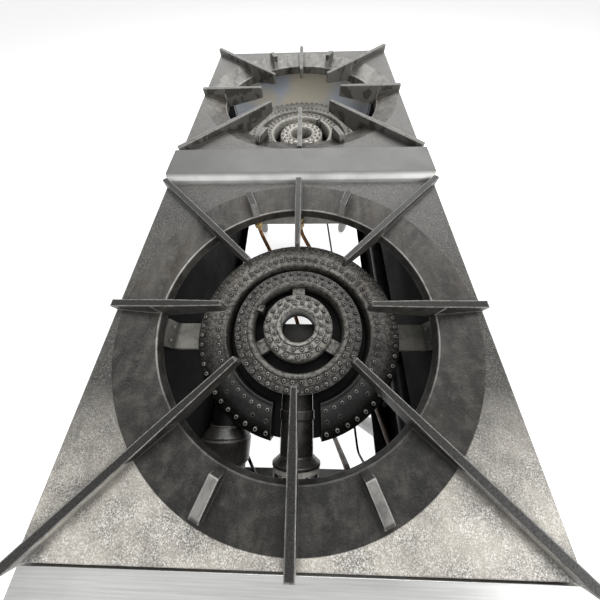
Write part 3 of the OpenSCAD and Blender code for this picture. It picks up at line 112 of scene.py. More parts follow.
class RangeColours(bpy.types.PropertyGroup):
    """Colours of the range's finishes."""

    plate: bpy.props.FloatVectorProperty(
        name="Plate", description="Scoured top of the grate plates",
        default=(0.046, 0.0445, 0.041), subtype="COLOR", size=3)
    dish: bpy.props.FloatVectorProperty(
        name="Dish", description="Burnt iron round the openings",
        default=(0.026, 0.0248, 0.022), subtype="COLOR", size=3)
    burner: bpy.props.FloatVectorProperty(
        name="Burner", description="Sooty cast iron of the burners",
        default=(0.0312, 0.0300, 0.0272), subtype="COLOR", size=3)
    mixer: bpy.props.FloatVectorProperty(
        name="Mixer", description="Dark iron of the mixers under the burners",
        default=(0.014, 0.014, 0.013), subtype="COLOR", size=3)
    bridge: bpy.props.FloatVectorProperty(
        name="Bridge", description="Dull steel of the bridge between the grates",
        default=(0.115, 0.115, 0.112), subtype="COLOR", size=3)
    bare_iron: bpy.props.FloatVectorProperty(
        name="Bare iron", description="Iron rubbed bright on edges",
        default=(0.44, 0.43, 0.41), subtype="COLOR", size=3)
    rust: bpy.props.FloatVectorProperty(
        name="Rust", description="Thin brown rust",
        default=(0.085, 0.058, 0.038), subtype="COLOR", size=3)
    stainless: bpy.props.FloatVectorProperty(
        name="Stainless", description="Brushed stainless steel",
        default=(0.47, 0.47, 0.46), subtype="COLOR", size=3)
    zinc: bpy.props.FloatVectorProperty(
        name="Zinc", description="Galvanised sheet",
        default=(0.58, 0.57, 0.52), subtype="COLOR", size=3)
    # Black paint, made darker than paint as painted shade inside the body.
    side_paint: bpy.props.FloatVectorProperty(
        name="Side paint", description="Dark paint of the side panels",
        default=(0.002, 0.002, 0.002), subtype="COLOR", size=3)
    copper: bpy.props.FloatVectorProperty(
        name="Copper", description="Dulled copper tube",
        default=(0.85, 0.42, 0.19), subtype="COLOR", size=3)
    brass: bpy.props.FloatVectorProperty(
        name="Brass", description="Dulled brass fittings",
        default=(0.45, 0.33, 0.14), subtype="COLOR", size=3)
    black_pipe: bpy.props.FloatVectorProperty(
        name="Black pipe", description="Black iron pipe",
        default=(0.020, 0.020, 0.021), subtype="COLOR", size=3)
    knob: bpy.props.FloatVectorProperty(
        name="Knob", description="Moulded knobs",
        default=(0.018, 0.018, 0.019), subtype="COLOR", size=3)
    pilot: bpy.props.FloatVectorProperty(
        name="Pilot", description="Sooty steel of the pilots",
        default=(0.16, 0.155, 0.145), subtype="COLOR", size=3)
    tube: bpy.props.FloatVectorProperty(
        name="Pilot tube", description="Dull metal of the pilot tubes",
        default=(0.3, 0.3, 0.3), subtype="COLOR", size=3)
    stem: bpy.props.FloatVectorProperty(
        name="Stem", description="Steel of the stems and pilot screws",
        default=(0.5, 0.5, 0.5), subtype="COLOR", size=3)
    plated: bpy.props.FloatVectorProperty(
        name="Plated steel", description="Plated screws and bolts",
        default=(0.55, 0.55, 0.54), subtype="COLOR", size=3)
    floor: bpy.props.FloatVectorProperty(
        name="Floor", description="Studio floor",
        default=(0.80, 0.80, 0.80), subtype="COLOR", size=3)


# Small helpers for shader trees

class Finish:
    """A material under construction, with short calls for the nodes that finishes share."""

    def __init__(self, name):
        self.material = bpy.data.materials.new(name)
        self.material.use_nodes = True
        self.tree = self.material.node_tree
        self.shader = self.tree.nodes["Principled BSDF"]
        self.where = self.add("ShaderNodeTexCoord").outputs["Object"]

    def add(self, kind, **settings):
        node = self.tree.nodes.new(kind)
        for key, value in settings.items():
            setattr(node, key, value)
        return node

    def wire(self, value, socket):
        if isinstance(value, bpy.types.NodeSocket):
            self.tree.links.new(value, socket)
        else:
            socket.default_value = value

    def noise(self, scale, detail=3.0, rough=0.55, vector=None):
        node = self.add("ShaderNodeTexNoise")
        self.wire(vector or self.where, node.inputs["Vector"])
        node.inputs["Scale"].default_value = scale
        node.inputs["Detail"].default_value = detail
        node.inputs["Roughness"].default_value = rough
        return node.outputs["Fac"]

    def cells(self, scale):
        node = self.add("ShaderNodeTexVoronoi")
        self.wire(self.where, node.inputs["Vector"])
        node.inputs["Scale"].default_value = scale
        return node.outputs["Color"]

    def band(self, value, low, high, to_low=0.0, to_high=1.0):
        """Maps low..high of a value to to_low..to_high and holds it there beyond."""
        node = self.add("ShaderNodeMapRange")
        self.wire(value, node.inputs["Value"])
        for key, number in (("From Min", low), ("From Max", high), ("To Min", to_low), ("To Max", to_high)):
            node.inputs[key].default_value = number
        return node.outputs["Result"]

    def calc(self, operation, a, b=0.0):
        node = self.add("ShaderNodeMath", operation=operation)
        self.wire(a, node.inputs[0])
        self.wire(b, node.inputs[1])
        return node.outputs[0]

    def times(self, *shares):
        """Product of several shares."""
        product = shares[0]
        for share in shares[1:]:
            product = self.calc("MULTIPLY", product, share)
        return product

    def mix(self, share, a, b, blend="MIX"):
        node = self.add("ShaderNodeMix", data_type="RGBA", blend_type=blend)
        self.wire(share, node.inputs["Factor"])
        for value, socket in ((a, node.inputs["A"]), (b, node.inputs["B"])):
            self.wire((*value, 1.0) if isinstance(value, (tuple, list, Vector)) else value, socket)
        return node.outputs["Result"]

    def scaled(self, colour, factor):
        """A colour from other nodes, made darker or lighter."""
        return self.mix(1.0, colour, (factor, factor, factor), "MULTIPLY")

    def axis(self, name, vector=None):
        node = self.add("ShaderNodeSeparateXYZ")
        self.wire(vector or self.where, node.inputs[0])
        return node.outputs[name]

    def stretched(self, scale):
        """Object coordinates stretched along an axis, for grain."""
        node = self.add("ShaderNodeMapping")
        self.wire(self.where, node.inputs["Vector"])
        node.inputs["Scale"].default_value = scale
        return node.outputs["Vector"]

    def radius_from(self, centre):
        """Distance from an upright axis through a point."""
        node = self.add("ShaderNodeVectorMath", operation="SUBTRACT")
        self.wire(self.where, node.inputs[0])
        node.inputs[1].default_value = centre
        flat = self.add("ShaderNodeVectorMath", operation="MULTIPLY")
        self.wire(node.outputs[0], flat.inputs[0])
        flat.inputs[1].default_value = (1.0, 1.0, 0.0)
        size = self.add("ShaderNodeVectorMath", operation="LENGTH")
        self.wire(flat.outputs[0], size.inputs[0])
        return size.outputs["Value"]

    def rounded(self, radius):
        """A normal rounded over the edges, and a mask that is 1 on them."""
        node = self.add("ShaderNodeBevel", samples=6)
        node.inputs["Radius"].default_value = radius
        shape = self.add("ShaderNodeNewGeometry")
        dot = self.add("ShaderNodeVectorMath", operation="DOT_PRODUCT")
        self.wire(node.outputs["Normal"], dot.inputs[0])
        self.wire(shape.outputs["Normal"], dot.inputs[1])
        return node.outputs["Normal"], self.band(dot.outputs["Value"], 0.99, 0.84)

    def crevice(self, reach):
        """1 in corners and holes, for soot and painted shade, 0 on open faces."""
        node = self.add("ShaderNodeAmbientOcclusion", samples=6, only_local=True)
        node.inputs["Distance"].default_value = reach
        return self.band(node.outputs["AO"], 0.97, 0.62)

    def from_port(self, centre, rows):
        """Distance from the nearest drilled port of a burner's rows."""
        node = self.add("ShaderNodeVectorMath", operation="SUBTRACT")
        self.wire(self.where, node.inputs[0])
        node.inputs[1].default_value = centre
        x = self.axis("X", node.outputs[0])
        y = self.axis("Y", node.outputs[0])
        turn = self.calc("ARCTAN2", self.times(x, -1.0), y)
        radius = self.radius_from(centre)
        nearest = None
        for row, start, pitch in rows:
            step = math.radians(pitch)
            share = self.calc("DIVIDE", self.calc("SUBTRACT", turn, math.radians(start)), step)
            along = self.times(self.calc("PINGPONG", share, 0.5), step * row * MM)
            across = self.calc("SUBTRACT", radius, row * MM)
            away = self.calc("SQRT", self.calc("ADD", self.times(along, along), self.times(across, across)))
            nearest = away if nearest is None else self.calc("MINIMUM", nearest, away)
        return nearest

    def bump(self, height, depth, strength=1.0, normal=None):
        node = self.add("ShaderNodeBump")
        self.wire(height, node.inputs["Height"])
        node.inputs["Distance"].default_value = depth
        node.inputs["Strength"].default_value = strength
        if normal is not None:
            self.wire(normal, node.inputs["Normal"])
        return node.outputs["Normal"]

    def finish(self, colour, rough, metal, normal=None, gloss=0.5):
        self.wire((*colour, 1.0) if isinstance(colour, (tuple, list)) else colour,
                  self.shader.inputs["Base Color"])
        self.wire(rough, self.shader.inputs["Roughness"])
        self.shader.inputs["Metallic"].default_value = metal
        self.shader.inputs["Specular IOR Level"].default_value = gloss
        if normal is not None:
            self.wire(normal, self.shader.inputs["Normal"])
        return self.material


def paint(material, *names):
    """Gives CAD nodes a material in all their slots."""
    for name in names:
        slots = nodes[name].data.materials
        slots.clear()
        slots.append(material)


# Finishes

def plate_colour(f, centre, iron, cast, scoured):
    """Top of a grate's plate: mottled, pitted iron, scoured bright towards the front."""
    bare_iron = bpy.context.scene.range_colours.bare_iron
    plate = f.mix(f.band(cast["cloud"], 0.34, 0.66), shade(iron, 0.6), shade(iron, 1.5))
    dark = f.band(cast["mottle"], 0.46, 0.62, 0.0, 0.6 if scoured else 0.3)
    plate = f.mix(dark, plate, shade(iron, 0.4))
    pitted = f.band(f.noise(300.0, 3.0, 0.7), 0.52, 0.64, 0.0, 0.5 if scoured else 0.15)
    plate = f.mix(pitted, plate, shade(iron, 3.6))
    plate = f.mix(f.band(cast["grain"], 0.42, 0.66, 0.0, 0.7), plate, shade(iron, 2.2))
    plate = f.mix(f.times(cast["speck"], 0.5), plate, list(bare_iron))
    if not scoured:
        return plate
    near = f.band(f.axis("Y"), centre.y - 90 * MM, centre.y - 200 * MM)
    patch = f.times(near, f.band(f.noise(24.0, 4.0, 0.65), 0.36, 0.60, 0.25, 1.0))
    plate = f.mix(patch, plate, [c * tint for c, tint in zip(bare_iron, SCOURED_TINT)])
    fine = f.band(f.noise(900.0, 4.0, 0.8), 0.47, 0.58)
    fine = f.times(fine, f.band(cast["mottle"], 0.35, 0.6, 0.45, 1.0))
    return f.mix(f.times(near, fine), plate, shade(bare_iron, 1.9))


def dish_colour(f, centre, radius, iron, cast, painted_shade):
    """Dish round the opening: heat-darkened iron with rust and streaks, painted darker towards the front as
    shade, and rubbed bright in a line at the opening, a line that is also a painted highlight and fades
    towards the front.
    """
    colours = bpy.context.scene.range_colours
    opening = bpy.context.scene.range_sizes.opening_radius
    streak = f.noise(1.0, 4.0, 0.6, f.stretched((60.0, 11.0, 11.0)))
    dish = f.mix(f.band(streak, 0.36, 0.66), shade(iron, 0.5), shade(iron, 3.0))
    dish = f.mix(f.band(cast["cloud"], 0.50, 0.70, 0.0, 0.35), dish, list(colours.rust))
    dish = f.mix(f.band(cast["mottle"], 0.48, 0.64, 0.0, 0.6), dish, shade(iron, 4.0))
    dish = f.mix(f.band(cast["grain"], 0.48, 0.72, 0.0, 0.5), dish, shade(iron, 3.4))
    dish = f.mix(f.times(cast["speck"], 0.16), dish, list(colours.bare_iron))
    # Painted shade: towards the front the dish is painted near black, in mottled patches.
    black = f.times(painted_shade, f.band(cast["mottle"], 0.62, 0.40, 0.55, 1.0))
    dish = f.mix(black, dish, shade(iron, 0.3))
    # A rubbed bright line at the opening, partly a painted highlight: it is painted fainter towards the
    # front.
    lip = f.times(
        f.band(radius, opening + 1.6 * MM, opening + 0.8 * MM),
        f.band(radius, opening - 1.0 * MM, opening),
        f.band(f.axis("Z"), plate_top() - DISH_DROP - 2 * MM, plate_top() - DISH_DROP - 1 * MM),
        f.band(cast["mottle"], 0.34, 0.52, 0.3, 0.9),
        f.band(f.axis("Y"), centre.y - 110 * MM, centre.y, 0.1, 1.0))
    return f.mix(lip, dish, shade(colours.bare_iron, 1.3))


def rib_top_colour(f, centre, iron, cast, scoured):
    """Tops of the ribs and lugs: dark, with the two front lugs rubbed bright."""
    top = f.mix(f.band(cast["grain"], 0.40, 0.66), shade(iron, 0.2), shade(iron, 0.8))
    if not scoured:
        return top
    low, high = LUG_SIDE
    beside = f.calc("ABSOLUTE", f.calc("SUBTRACT", f.axis("X"), centre.x))
    lug = f.times(
        f.band(beside, low, low + 4 * MM),
        f.band(beside, high, high - 4 * MM),
        f.band(f.axis("Y"), centre.y - 150 * MM, centre.y - 165 * MM),
        f.band(cast["mottle"], 0.35, 0.6, 0.5, 1.0))
    return f.mix(lug, top, shade(bpy.context.scene.range_colours.bare_iron, 0.55))


def grate_iron(name, centre, scoured=True, stain=0.0, pale=1.0):
    """Cast iron grate: scoured plate, heat-darkened dish painted darker towards the front as shade, rubbed
    rib tops and edges with a painted highlight on the opening's back edge, oil stains, painted shade with
    soot in the corners, and on the rear grate a painted glare that makes it paler.
    """
    colours = bpy.context.scene.range_colours
    sizes = bpy.context.scene.range_sizes
    # Painted glare: pale lightens the rear grate's iron, and its dish by the square of it.
    plate_iron = shade(colours.plate, pale)
    f = Finish(name)
    normal, edge = f.rounded(sizes.edge_round)
    radius = f.radius_from(centre)
    height = f.axis("Z")
    top = plate_top()
    cast = {
        "cloud": f.noise(16.0, 5.0, 0.6),
        "mottle": f.noise(70.0, 4.0, 0.65),
        "grain": f.noise(620.0, 3.0, 0.65),
        "speck": f.band(f.noise(760.0, 2.0, 0.7), 0.56, 0.68),
    }
    # Painted shade: a share that is high at the front of the grate and falls to nothing behind it. The dish
    # is painted darker by it, and the opening's edge is painted bright only where it is low, as a painted
    # highlight.
    painted_shade = f.band(f.axis("Y"), centre.y - 190 * MM, centre.y + 90 * MM, 0.9, 0.0)
    dish = dish_colour(f, centre, radius, shade(colours.dish, pale * pale), cast, painted_shade)
    plate = plate_colour(f, centre, plate_iron, cast, scoured)
    on_plate = f.band(radius, sizes.dish_radius - 0.3 * MM, sizes.dish_radius + 0.3 * MM)
    on_top = f.band(height, top + sizes.rib_rise - 1.4 * MM, top + sizes.rib_rise - 0.4 * MM)
    colour = f.mix(on_plate, dish, plate)
    colour = f.mix(on_top, colour, rib_top_colour(f, centre, plate_iron, cast, scoured))

    oil = f.band(f.noise(46.0, 3.0, 0.45), 0.53, 0.56, 0.0, stain)
    if stain:
        on_rib = f.band(height, top + 0.5 * MM, top + 1.5 * MM)
        inside = f.band(radius, sizes.opening_radius - 2 * MM, sizes.opening_radius - 4 * MM)
        side = f.calc("MAXIMUM", on_rib, inside)
        # Painted glare: on the rear grate everything above the plate, and the opening's wall, is painted
        # lighter.
        colour = f.mix(f.times(side, 0.8), colour, shade(plate_iron, 2.1))
        oil = f.times(oil, side)
    colour = f.mix(oil, colour, shade(colours.dish, 2.2))

    over_plate = f.band(height, top + 1.0 * MM, top + 3.0 * MM)
    above_skirt = f.band(height, top - DISH_DROP - 6 * MM, top - DISH_DROP - 3 * MM, 0.25, 1.0)
    # Painted highlight: the opening's edge is worn bright only towards the back.
    opening_edge = f.times(f.calc("SUBTRACT", 1.0, painted_shade), above_skirt)
    worn = f.times(edge, f.band(f.noise(120.0, 4.0, 0.7), 0.34, 0.58, 0.4, 1.0))
    worn = f.times(worn, f.calc("MAXIMUM", over_plate, opening_edge))
    colour = f.mix(f.times(worn, 0.95), colour, shade(colours.bare_iron, 1.25))
    # Painted shade with soot: corners and holes are painted darker.
    colour = f.mix(f.times(f.crevice(9.0 * MM), 0.5), colour, shade(colours.dish, 0.5))

    rough = f.calc("SUBTRACT", f.band(cast["cloud"], 0.3, 0.7, 0.30, 0.44), f.times(oil, 0.12))
    pits = f.bump(cast["grain"], 0.5 * MM, 0.8, normal)
    casting = f.bump(f.noise(150.0, 4.0, 0.6), 0.7 * MM, 0.5, pits)
    return f.finish(colour, rough, 0.08, casting, 0.28)


def burner_iron(name, centre, rows, glare_lift=1.0, front_shade=False):
    """Burner casting: satin iron, painted paler towards the middle as a sheen, with rims rubbed bright and
    painted as highlights round its ports, which are painted black as soot and shade.
    """
    colours = bpy.context.scene.range_colours
    sizes = bpy.context.scene.range_sizes
    crown = sizes.crown_height
    # Painted glare: the rear burner's iron is lightened by this factor, which also weakens its soot, its
    # dark patches and the black of its ports.
    iron = shade(colours.burner, glare_lift)
    f = Finish(name)
    normal, edge = f.rounded(sizes.boss_round)
    height = f.axis("Z")
    on_top = f.band(height, crown - 5.5 * MM, crown - 4.5 * MM)
    depth = f.band(height, crown - 30 * MM, crown - 9 * MM)
    away = f.from_port(centre, rows)
    bore = f.times(on_top, f.band(away, *PORT_BORE))
    rim = f.times(on_top, f.band(away, *PORT_RIM_IN), f.band(away, *PORT_RIM_OUT))
    foot = f.times(on_top, f.band(away, *PORT_FOOT))
    cloud = f.noise(38.0, 5.0, 0.62)
    grain = f.noise(480.0, 3.0, 0.6)

    base = f.mix(f.band(cloud, 0.36, 0.66), shade(iron, 0.7), shade(iron, 1.6))
    # Painted sheen: the inner rings are painted paler towards the middle, for the light from overhead.
    middle_share = f.band(f.radius_from(centre), 40.0 * MM, 112.0 * MM, 0.95, 0.0)
    base = f.mix(middle_share, base, shade(colours.burner, 16.0))
    base = f.mix(f.band(grain, 0.44, 0.66, 0.0, 0.6), base, shade(iron, 4.0))
    base = f.mix(f.band(grain, 0.52, 0.36, 0.0, 0.6), base, shade(iron, 0.4))
    base = f.mix(f.band(f.noise(18.0, 3.0, 0.6), 0.54, 0.70, 0.0, 0.15), base, list(colours.rust))
    base = f.mix(f.band(f.noise(170.0, 4.0, 0.7), 0.53, 0.42, 0.0, 0.75 / glare_lift), base, shade(iron, 0.25))
    # Soot round the ports' feet, joined by painted shade in the corners and holes.
    soot = f.times(foot, f.band(cloud, 0.36, 0.6, 0.2, 1.0))
    soot = f.times(f.calc("MAXIMUM", f.crevice(3.5 * MM), soot), 1.0 / glare_lift)
    base = f.mix(soot, base, shade(iron, 0.15))
    # Painted light: the front outer ring is painted darker towards its front as shade and lighter towards
    # its back as sheen.
    if front_shade:
        neck_side = f.band(f.axis("Y"), centre.y + 90 * MM, centre.y - 90 * MM)
        base = f.mix(neck_side, f.scaled(base, 5.2), f.scaled(base, 0.15))

    worn = f.times(edge, f.band(f.noise(150.0, 4.0, 0.7), 0.36, 0.6, 0.3, 1.0))
    colour = f.mix(f.times(worn, 0.75), base, shade(colours.bare_iron, 0.9))
    # Rims rubbed bright, partly a painted highlight.
    rim = f.times(rim, f.band(f.noise(60.0, 3.0, 0.6), 0.35, 0.65, 0.45, 1.0))
    colour = f.mix(rim, colour, shade(colours.bare_iron, 1.2))
    # Painted shade: deep down between the rings the iron is painted near black.
    colour = f.mix(depth, shade(colours.burner, 0.06), colour)
    # Soot and painted shade: the port bores are painted black.
    colour = f.mix(f.times(bore, 1.0 / math.sqrt(glare_lift)), colour, BLACK)

    rough = f.band(cloud, 0.3, 0.7, 0.26, 0.42)
    rough = f.calc("ADD", rough, f.times(f.calc("SUBTRACT", 1.0, depth), 0.35))
    cone = f.calc("SUBTRACT", f.band(away, *PORT_CONE), f.times(bore, 0.8))
    boss = f.bump(f.times(cone, on_top), 1.4 * MM, 0.9, normal)
    skin = f.bump(f.noise(210.0, 4.0, 0.6), 0.4 * MM, 0.5, f.bump(grain, 0.2 * MM, 0.6, boss))
    return f.finish(colour, rough, 0.06, skin, 0.25)


def mixer_iron(name):
    """Mixer casting: dark satin iron with a little dust and rust."""
    colours = bpy.context.scene.range_colours
    f = Finish(name)
    normal, edge = f.rounded(bpy.context.scene.range_sizes.edge_round)
    cloud = f.noise(36.0, 5.0, 0.62)
    grain = f.noise(460.0, 3.0, 0.6)
    colour = f.mix(f.band(cloud, 0.4, 0.68), list(colours.mixer), shade(colours.mixer, 2.6))
    colour = f.mix(f.band(grain, 0.5, 0.72, 0.0, 0.4), colour, list(colours.rust))
    colour = f.mix(f.times(edge, 0.5), colour, shade(colours.bare_iron, 0.4))
    rough = f.band(cloud, 0.3, 0.7, 0.2, 0.42)
    return f.finish(colour, rough, 0.1, f.bump(grain, 0.25 * MM, 0.5, normal), 0.7)


def brushed_steel(name, colour, along, dull=0.0, metal=0.9, shine=0.26, rubbed=None, fold=0.8 * MM):
    """Brushed sheet with its grain along one axis, dulled by use, and rubbed bright in front of a place,
    which is also a painted highlight.
    """
    f = Finish(name)
    normal, edge = f.rounded(fold)
    stretch = [16.0 if axis == along else 1100.0 for axis in "XYZ"]
    grain = f.noise(1.0, 2.0, 0.6, f.stretched(stretch))
    smear = f.noise(11.0, 4.0, 0.6)
    stain = f.band(f.noise(26.0, 5.0, 0.65), 0.5, 0.75)
    sheet = f.mix(f.band(grain, 0.3, 0.7), shade(colour, 0.84), shade(colour, 1.06))
    sheet = f.mix(f.times(stain, dull), sheet, shade(colour, 0.35))
    sheet = f.mix(f.times(edge, 0.6), sheet, shade(colour, 1.9))
    # Rubbed bright in front of a place, partly a painted highlight.
    if rubbed is not None:
        in_front = f.band(f.axis("Y"), rubbed, rubbed - 5.0 * MM)
        bright = f.times(in_front, f.band(smear, 0.3, 0.65, 0.55, 1.0))
        sheet = f.mix(bright, sheet, shade(colour, 7.0))
    rough = f.calc("ADD", f.band(grain, 0.3, 0.7, shine, shine + 0.1), f.band(smear, 0.4, 0.7, 0.0, 0.12))
    return f.finish(sheet, rough, metal, f.bump(grain, 0.05 * MM, 0.5, normal))


def galvanised(name, soot=0.0, light_lift=1.0, burner=None, lit_front=False):
    """Galvanised sheet: spangled and stained, lightened with painted light, with painted light and
    reflection on its front face and painted shade on its other faces, or painted shade under a burner.
    """
    # Painted light: the zinc is lightened by this factor on the back panel and the rails.
    zinc = shade(bpy.context.scene.range_colours.zinc, light_lift)
    f = Finish(name)
    normal, edge = f.rounded(bpy.context.scene.range_sizes.sheet_round)
    spangle = f.axis("X", f.cells(85.0))
    fine = f.noise(300.0, 3.0, 0.6)
    cloud = f.noise(14.0, 4.0, 0.6)
    colour = f.mix(spangle, shade(zinc, 0.78), shade(zinc, 1.12))
    colour = f.mix(f.band(fine, 0.4, 0.7, 0.0, 0.3), colour, shade(zinc, 0.6))
    colour = f.mix(f.band(cloud, 0.4, 0.66, soot * 0.5, soot), colour, shade(zinc, 0.16))
    colour = f.mix(f.times(edge, 0.4), colour, shade(zinc, 1.4))
    # Painted light: the front face carries cream patches of painted light and a bluish painted reflection,
    # and the other faces are painted darker as shade.
    if lit_front:
        shape = f.add("ShaderNodeNewGeometry")
        faces_front = f.band(f.axis("Y", shape.outputs["Normal"]), -0.4, -0.6)
        light_patches = f.mix(f.band(f.noise(9.0, 3.0, 0.5), 0.44, 0.60), BLUISH_REFLECTION, CREAM_LIGHT)
        colour = f.mix(f.times(faces_front, 0.95), f.scaled(colour, 0.45), light_patches)
    gloss = 0.5
    if burner is not None:
        gloss = 0.2
        # Darker on the right of the burner and at the rail's ends by the side walls.
        beside = f.calc("SUBTRACT", f.axis("X"), burner.x)
        right = f.band(beside, 0.0, 110 * MM, 0.0, 0.55)
        tabs = f.band(f.calc("ABSOLUTE", beside), 214 * MM, 221 * MM, 0.0, 0.75)
        colour = f.mix(f.calc("MAXIMUM", right, tabs), colour, shade(zinc, 0.05))
        # Painted shade under the burner.
        painted_shade = f.band(f.radius_from(burner), 165.0 * MM, 120.0 * MM)
        colour = f.mix(painted_shade, colour, shade(zinc, 0.025))
    rough = f.calc("ADD", f.band(spangle, 0.0, 1.0, 0.34, 0.5), f.band(cloud, 0.3, 0.7, 0.0, 0.12))
    return f.finish(colour, rough, 0.15, f.bump(fine, 0.08 * MM, 0.5, normal), gloss)


def painted_side(name):
    """Dark paint, made darker than paint as painted shade, with dust and light scuffs."""
    colours = bpy.context.scene.range_colours
    f = Finish(name)
    normal, edge = f.rounded(bpy.context.scene.range_sizes.sheet_round)
    dust = f.noise(12.0, 5.0, 0.62)
    peel = f.noise(420.0, 2.0, 0.5)
    scuff = f.band(f.noise(1.0, 4.0, 0.7, f.stretched((60.0, 9.0, 90.0))), 0.62, 0.78)
    dusty = f.band(dust, 0.4, 0.72, 0.0, 0.5)
    colour = f.mix(dusty, list(colours.side_paint), shade(colours.side_paint, 2.4))
    colour = f.mix(f.times(scuff, 0.12), colour, DUST)
    colour = f.mix(f.times(edge, 0.35), colour, CHIPPED)
    rough = f.band(dust, 0.35, 0.7, 0.5, 0.7)
    return f.finish(colour, rough, 0.0, f.bump(peel, 0.06 * MM, 0.6, normal), 0.06)


def worn_metal(name, colour, rough, tarnish, front_shade=None):
    """Small turned or drawn metal pieces with cloudy tarnish, painted darker as shade in front of a place.
    """
    f = Finish(name)
    normal, edge = f.rounded(0.4 * MM)
    cloud = f.noise(55.0, 5.0, 0.62)
    fine = f.noise(900.0, 2.0, 0.5)
    body = f.mix(f.band(cloud, 0.42, 0.68, 0.0, tarnish), list(colour), shade(colour, 0.22))
    body = f.mix(f.times(edge, 0.5), body, shade(colour, 1.7))
    # Painted shade: the metal is painted near black in front of the place.
    if front_shade is not None:
        in_front = f.band(f.axis("Y"), front_shade + 60 * MM, front_shade - 60 * MM, 0.0, 0.99)
        body = f.mix(in_front, body, shade(colour, 0.02))
    dull = f.band(cloud, 0.3, 0.7, rough, rough + 0.2)
    return f.finish(body, dull, 0.9, f.bump(fine, 0.04 * MM, 0.5, normal))


def black_iron_pipe(name):
    """Black pipe: mill scale with dusty, slightly rusty patches."""
    colours = bpy.context.scene.range_colours
    f = Finish(name)
    cloud = f.noise(40.0, 5.0, 0.6)
    scale = f.noise(260.0, 4.0, 0.6)
    dusty = f.band(cloud, 0.45, 0.7, 0.0, 0.5)
    colour = f.mix(dusty, list(colours.black_pipe), shade(colours.black_pipe, 3.0))
    colour = f.mix(f.band(scale, 0.6, 0.75, 0.0, 0.5), colour, list(colours.rust))
    return f.finish(colour, f.band(cloud, 0.3, 0.7, 0.36, 0.55), 0.2, f.bump(scale, 0.15 * MM, 0.5))


def moulded_knob(name):
    """Hard black plastic with a faint moulded texture and handling shine."""
    colours = bpy.context.scene.range_colours
    f = Finish(name)
    normal = f.rounded(0.8 * MM)[0]
    texture = f.noise(900.0, 2.0, 0.5)
    touch = f.noise(60.0, 4.0, 0.6)
    colour = f.mix(f.band(touch, 0.4, 0.7, 0.0, 0.5), list(colours.knob), shade(colours.knob, 1.8))
    rough = f.band(touch, 0.3, 0.7, 0.32, 0.48)
    return f.finish(colour, rough, 0.0, f.bump(texture, 0.04 * MM, 0.5, normal))


# Operators

class RANGE_OT_grates(bpy.types.Operator):
    """Finish the two cast grates"""

    bl_idname = "pot_range.grates"
    bl_label = "Grates"

    def execute(self, context):
        # Scoured plate, oil stain and paleness; the rear grate's paleness is a painted glare.
        wear_and_glare = {"front": (True, 0.0, 1.0), "rear": (False, 0.8, 1.6)}
        for name in BURNERS:
            node = name + "_grate"
            paint(grate_iron(name + " grate iron", middle(node), *wear_and_glare[name]), node)
        return {"FINISHED"}


class RANGE_OT_bridge(bpy.types.Operator):
    """Finish the folded bridge between the grates"""

    bl_idname = "pot_range.bridge"
    bl_label = "Grate bridge"

    def execute(self, context):
        colours = context.scene.range_colours
        # The front fold is rubbed bright, partly as a painted highlight.
        front_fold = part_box("grate_bridge")[0].y + 9.0 * MM
        steel = brushed_steel("bridge steel", colours.bridge, "X", 0.25, 0.3, 0.40, front_fold, 4.0 * MM)
        paint(steel, "grate_bridge")
        return {"FINISHED"}


class RANGE_OT_burners(bpy.types.Operator):
    """Finish the burner castings and their mixers"""

    bl_idname = "pot_range.burners"
    bl_label = "Burners"

    def execute(self, context):
        # The rear burner is lightened as a painted glare.
        glare_lifts = {"front": 1.0, "rear": 7.0}
        for name, glare_lift in glare_lifts.items():
            centre = middle(name + "_grate")
            outer = burner_iron(name + " outer ring iron", centre, OUTER_PORTS, glare_lift, name == "front")
            paint(outer, name + "_outer_burner")
            inner = burner_iron(name + " inner rings iron", centre, INNER_PORTS, glare_lift)
            paint(inner, name + "_inner_burner")
        paint(mixer_iron("mixer iron"), *[f"{name}_{ring}_mixer" for name in BURNERS for ring in RINGS])
        shutter = galvanised("shutter zinc", 0.3)
        paint(shutter, *[f"{name}_{ring}_shutter" for name in BURNERS for ring in RINGS])
        return {"FINISHED"}


class RANGE_OT_pilots(bpy.types.Operator):
    """Finish the pilots and their tubes"""

    bl_idname = "pot_range.pilots"
    bl_label = "Pilots"

    def execute(self, context):
        colours = context.scene.range_colours
        paint(worn_metal("pilot plate", colours.pilot, 0.3, 0.9), "front_pilot", "rear_pilot")
        # The pilot tubes are painted darker in front of the front burner's middle, as shade.
        tube = worn_metal("pilot tube metal", colours.tube, 0.3, 0.6, middle("front_grate").y)
        paint(tube, "front_pilot_tube", "rear_pilot_tube")
        return {"FINISHED"}


class RANGE_OT_gas_train(bpy.types.Operator):
    """Finish the pipes, valves, tubes and fittings"""

    bl_idname = "pot_range.gas_train"
    bl_label = "Gas train"

    def execute(self, context):
        colours = context.scene.range_colours
        paint(black_iron_pipe("black iron pipe"), "manifold_pipe", "supply_pipe", "pipe_fittings")
        # The copper tubes are painted darker in front of the front burner's middle, as shade.
        under_burner = middle("front_grate").y
        copper = worn_metal("copper", colours.copper, 0.3, 0.55, under_burner)
        paint(copper, "outer_supply_tube", "inner_supply_tube")
        paint(worn_metal("brass", colours.brass, 0.3, 0.5),
              "burner_valves", "pilot_valves", "orifice_hoods", "orifice_elbows", "tube_nuts")
        paint(galvanised("bracket zinc", 0.2), "manifold_brackets")
        return {"FINISHED"}


